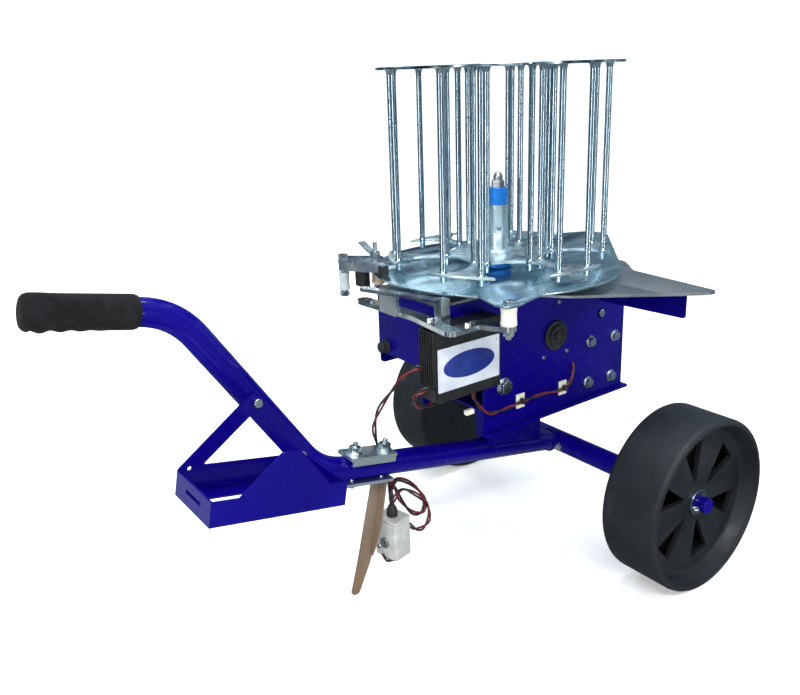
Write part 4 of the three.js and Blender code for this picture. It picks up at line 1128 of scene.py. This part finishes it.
def studio():
    """A pale floor that curves up into a wall all round."""
    look = Look("pale_floor", Roughness=0.7, Specular_IOR_Level=0.1, Emission_Strength=0.42)
    pale = look.mixed(look.spread(look.noise(1.5, 3), 0.3, 0.7), (0.74, 0.74, 0.74), (0.78, 0.78, 0.78))
    look.feed("Base Color", pale)
    look.feed("Emission Color", pale)
    outline = [(FLOOR_R, 0)]
    steps = 12
    for k in range(1, steps + 1):
        a = math.pi / 2 * k / steps
        outline.append((FLOOR_R + CURVE_R * math.sin(a), CURVE_R - CURVE_R * math.cos(a)))
    outline.append((FLOOR_R + CURVE_R, WALL_TOP))
    bm = bmesh.new()
    rings = []
    sides = 96
    for radius, height in outline:
        ring = []
        for k in range(sides):
            a = TAU * k / sides
            x, y = radius * math.cos(a) * MM, radius * math.sin(a) * MM
            ring.append(bm.verts.new((x, y, height * MM)))
        rings.append(ring)
    bm.faces.new(rings[0])
    for first, second in zip(rings, rings[1:]):
        for k in range(sides):
            n = (k + 1) % sides
            bm.faces.new((first[k], first[n], second[n], second[k]))
    mesh = mesh_of(bm, "studio")
    mesh.materials.append(look.material)
    mesh.shade_smooth()
    obj = bpy.data.objects.new("studio", mesh)
    obj.visible_glossy = False
    bpy.context.scene.collection.objects.link(obj)


def area_light(name, place, target, size, power, mirrored=True):
    """A white rectangular lamp aimed at a point; mirrored lamps show in shiny parts."""
    data = bpy.data.lights.new(name, "AREA")
    data.shape = "RECTANGLE"
    data.size, data.size_y = size
    data.energy = power
    obj = bpy.data.objects.new(name, data)
    obj.location = place
    obj.rotation_euler = (target - place).to_track_quat("-Z", "Y").to_euler()
    obj.visible_glossy = mirrored
    bpy.context.scene.collection.objects.link(obj)


def lights():
    """A high key, two narrow strips for the rods, and softer light from above and behind."""
    target = at(-250, 0, 400)
    area_light("key", Vector((-1.6, -2.2, 2.9)), target, (2.0, 0.16), 100)
    area_light("left_strip", Vector((-2.6, -0.6, 0.9)), target, (0.12, 1.5), 14)
    area_light("right_strip", Vector((0.6, -2.9, 0.9)), target, (0.12, 1.5), 14)
    area_light("top", Vector((0.1, 0.1, 3.2)), target, (2.6, 0.5), 70)
    area_light("rim", Vector((1.6, 2.6, 2.2)), target, (1.6, 1.0), 55, mirrored=False)
    area_light("fill", Vector((2.8, -1.9, 1.4)), target, (1.4, 1.4), 28, mirrored=False)


def ramp(tree, source, stops):
    """Colours a 0..1 value by stops of position and colour."""
    node = tree.nodes.new("ShaderNodeValToRGB")
    band = node.color_ramp
    while len(band.elements) < len(stops):
        band.elements.new(0.5)
    for element, (position, colour) in zip(band.elements, stops):
        element.position = position
        element.color = (*colour, 1)
    tree.links.new(source, node.inputs["Fac"])
    return node.outputs["Color"]


def room():
    """What shiny parts reflect: walls with tall bright windows between dark gaps, tinted warm
    and pale near the floor and brightest overhead."""
    world = bpy.data.worlds.new("soft_room")
    bpy.context.scene.world = world
    world.use_nodes = True
    tree = world.node_tree
    new = tree.nodes.new
    back = tree.nodes["Background"]
    coords = new("ShaderNodeTexCoord")
    split = new("ShaderNodeSeparateXYZ")
    tree.links.new(coords.outputs["Generated"], split.inputs["Vector"])
    stretch = new("ShaderNodeMapping")
    stretch.inputs["Scale"].default_value = (1, 1, 0.2)
    tree.links.new(coords.outputs["Generated"], stretch.inputs["Vector"])
    noise = new("ShaderNodeTexNoise")
    noise.inputs["Scale"].default_value = 4.2
    noise.inputs["Detail"].default_value = 3.0
    tree.links.new(stretch.outputs["Vector"], noise.inputs["Vector"])
    stops = [(0.44, WALL_DARK), (0.54, WALL_MID), (0.58, WALL_MID), (0.62, WINDOW)]
    windows = ramp(tree, noise.outputs["Fac"], stops)
    up = new("ShaderNodeMapRange")
    up.inputs["From Min"].default_value = -1
    tree.links.new(split.outputs["Z"], up.inputs["Value"])
    heights = ramp(tree, up.outputs["Result"], HEIGHT_TINTS)
    product = new("ShaderNodeMix")
    product.data_type = "RGBA"
    product.blend_type = "MULTIPLY"
    product.inputs["Factor"].default_value = 1.0
    tree.links.new(windows, product.inputs[6])
    tree.links.new(heights, product.inputs[7])
    tree.links.new(product.outputs[2], back.inputs["Color"])
    back.inputs["Strength"].default_value = 1.0


def camera():
    """A low view from the front left, with a slight roll."""
    yaw, pitch, roll = math.radians(YAW), math.radians(PITCH_DOWN), math.radians(ROLL)
    flat = math.cos(pitch)
    forward = Vector((math.sin(yaw) * flat, math.cos(yaw) * flat, -math.sin(pitch)))
    right = Vector((math.cos(yaw), -math.sin(yaw), 0))
    down = forward.cross(right)
    image_right = math.cos(roll) * right + math.sin(roll) * down
    image_down = -math.sin(roll) * right + math.cos(roll) * down
    turn = Matrix((image_right, -image_down, -forward)).transposed()
    data = bpy.data.cameras.new("camera")
    data.sensor_width = SENSOR
    data.lens = LENS
    data.shift_x = SHIFT_X
    data.shift_y = SHIFT_Y
    obj = bpy.data.objects.new("camera", data)
    obj.matrix_world = Matrix.Translation(at(*CAMERA_PLACE)) @ turn.to_4x4()
    bpy.context.scene.collection.objects.link(obj)
    bpy.context.scene.camera = obj


studio()
lights()
room()
camera()
bpy.context.scene.view_settings.view_transform = "Standard"
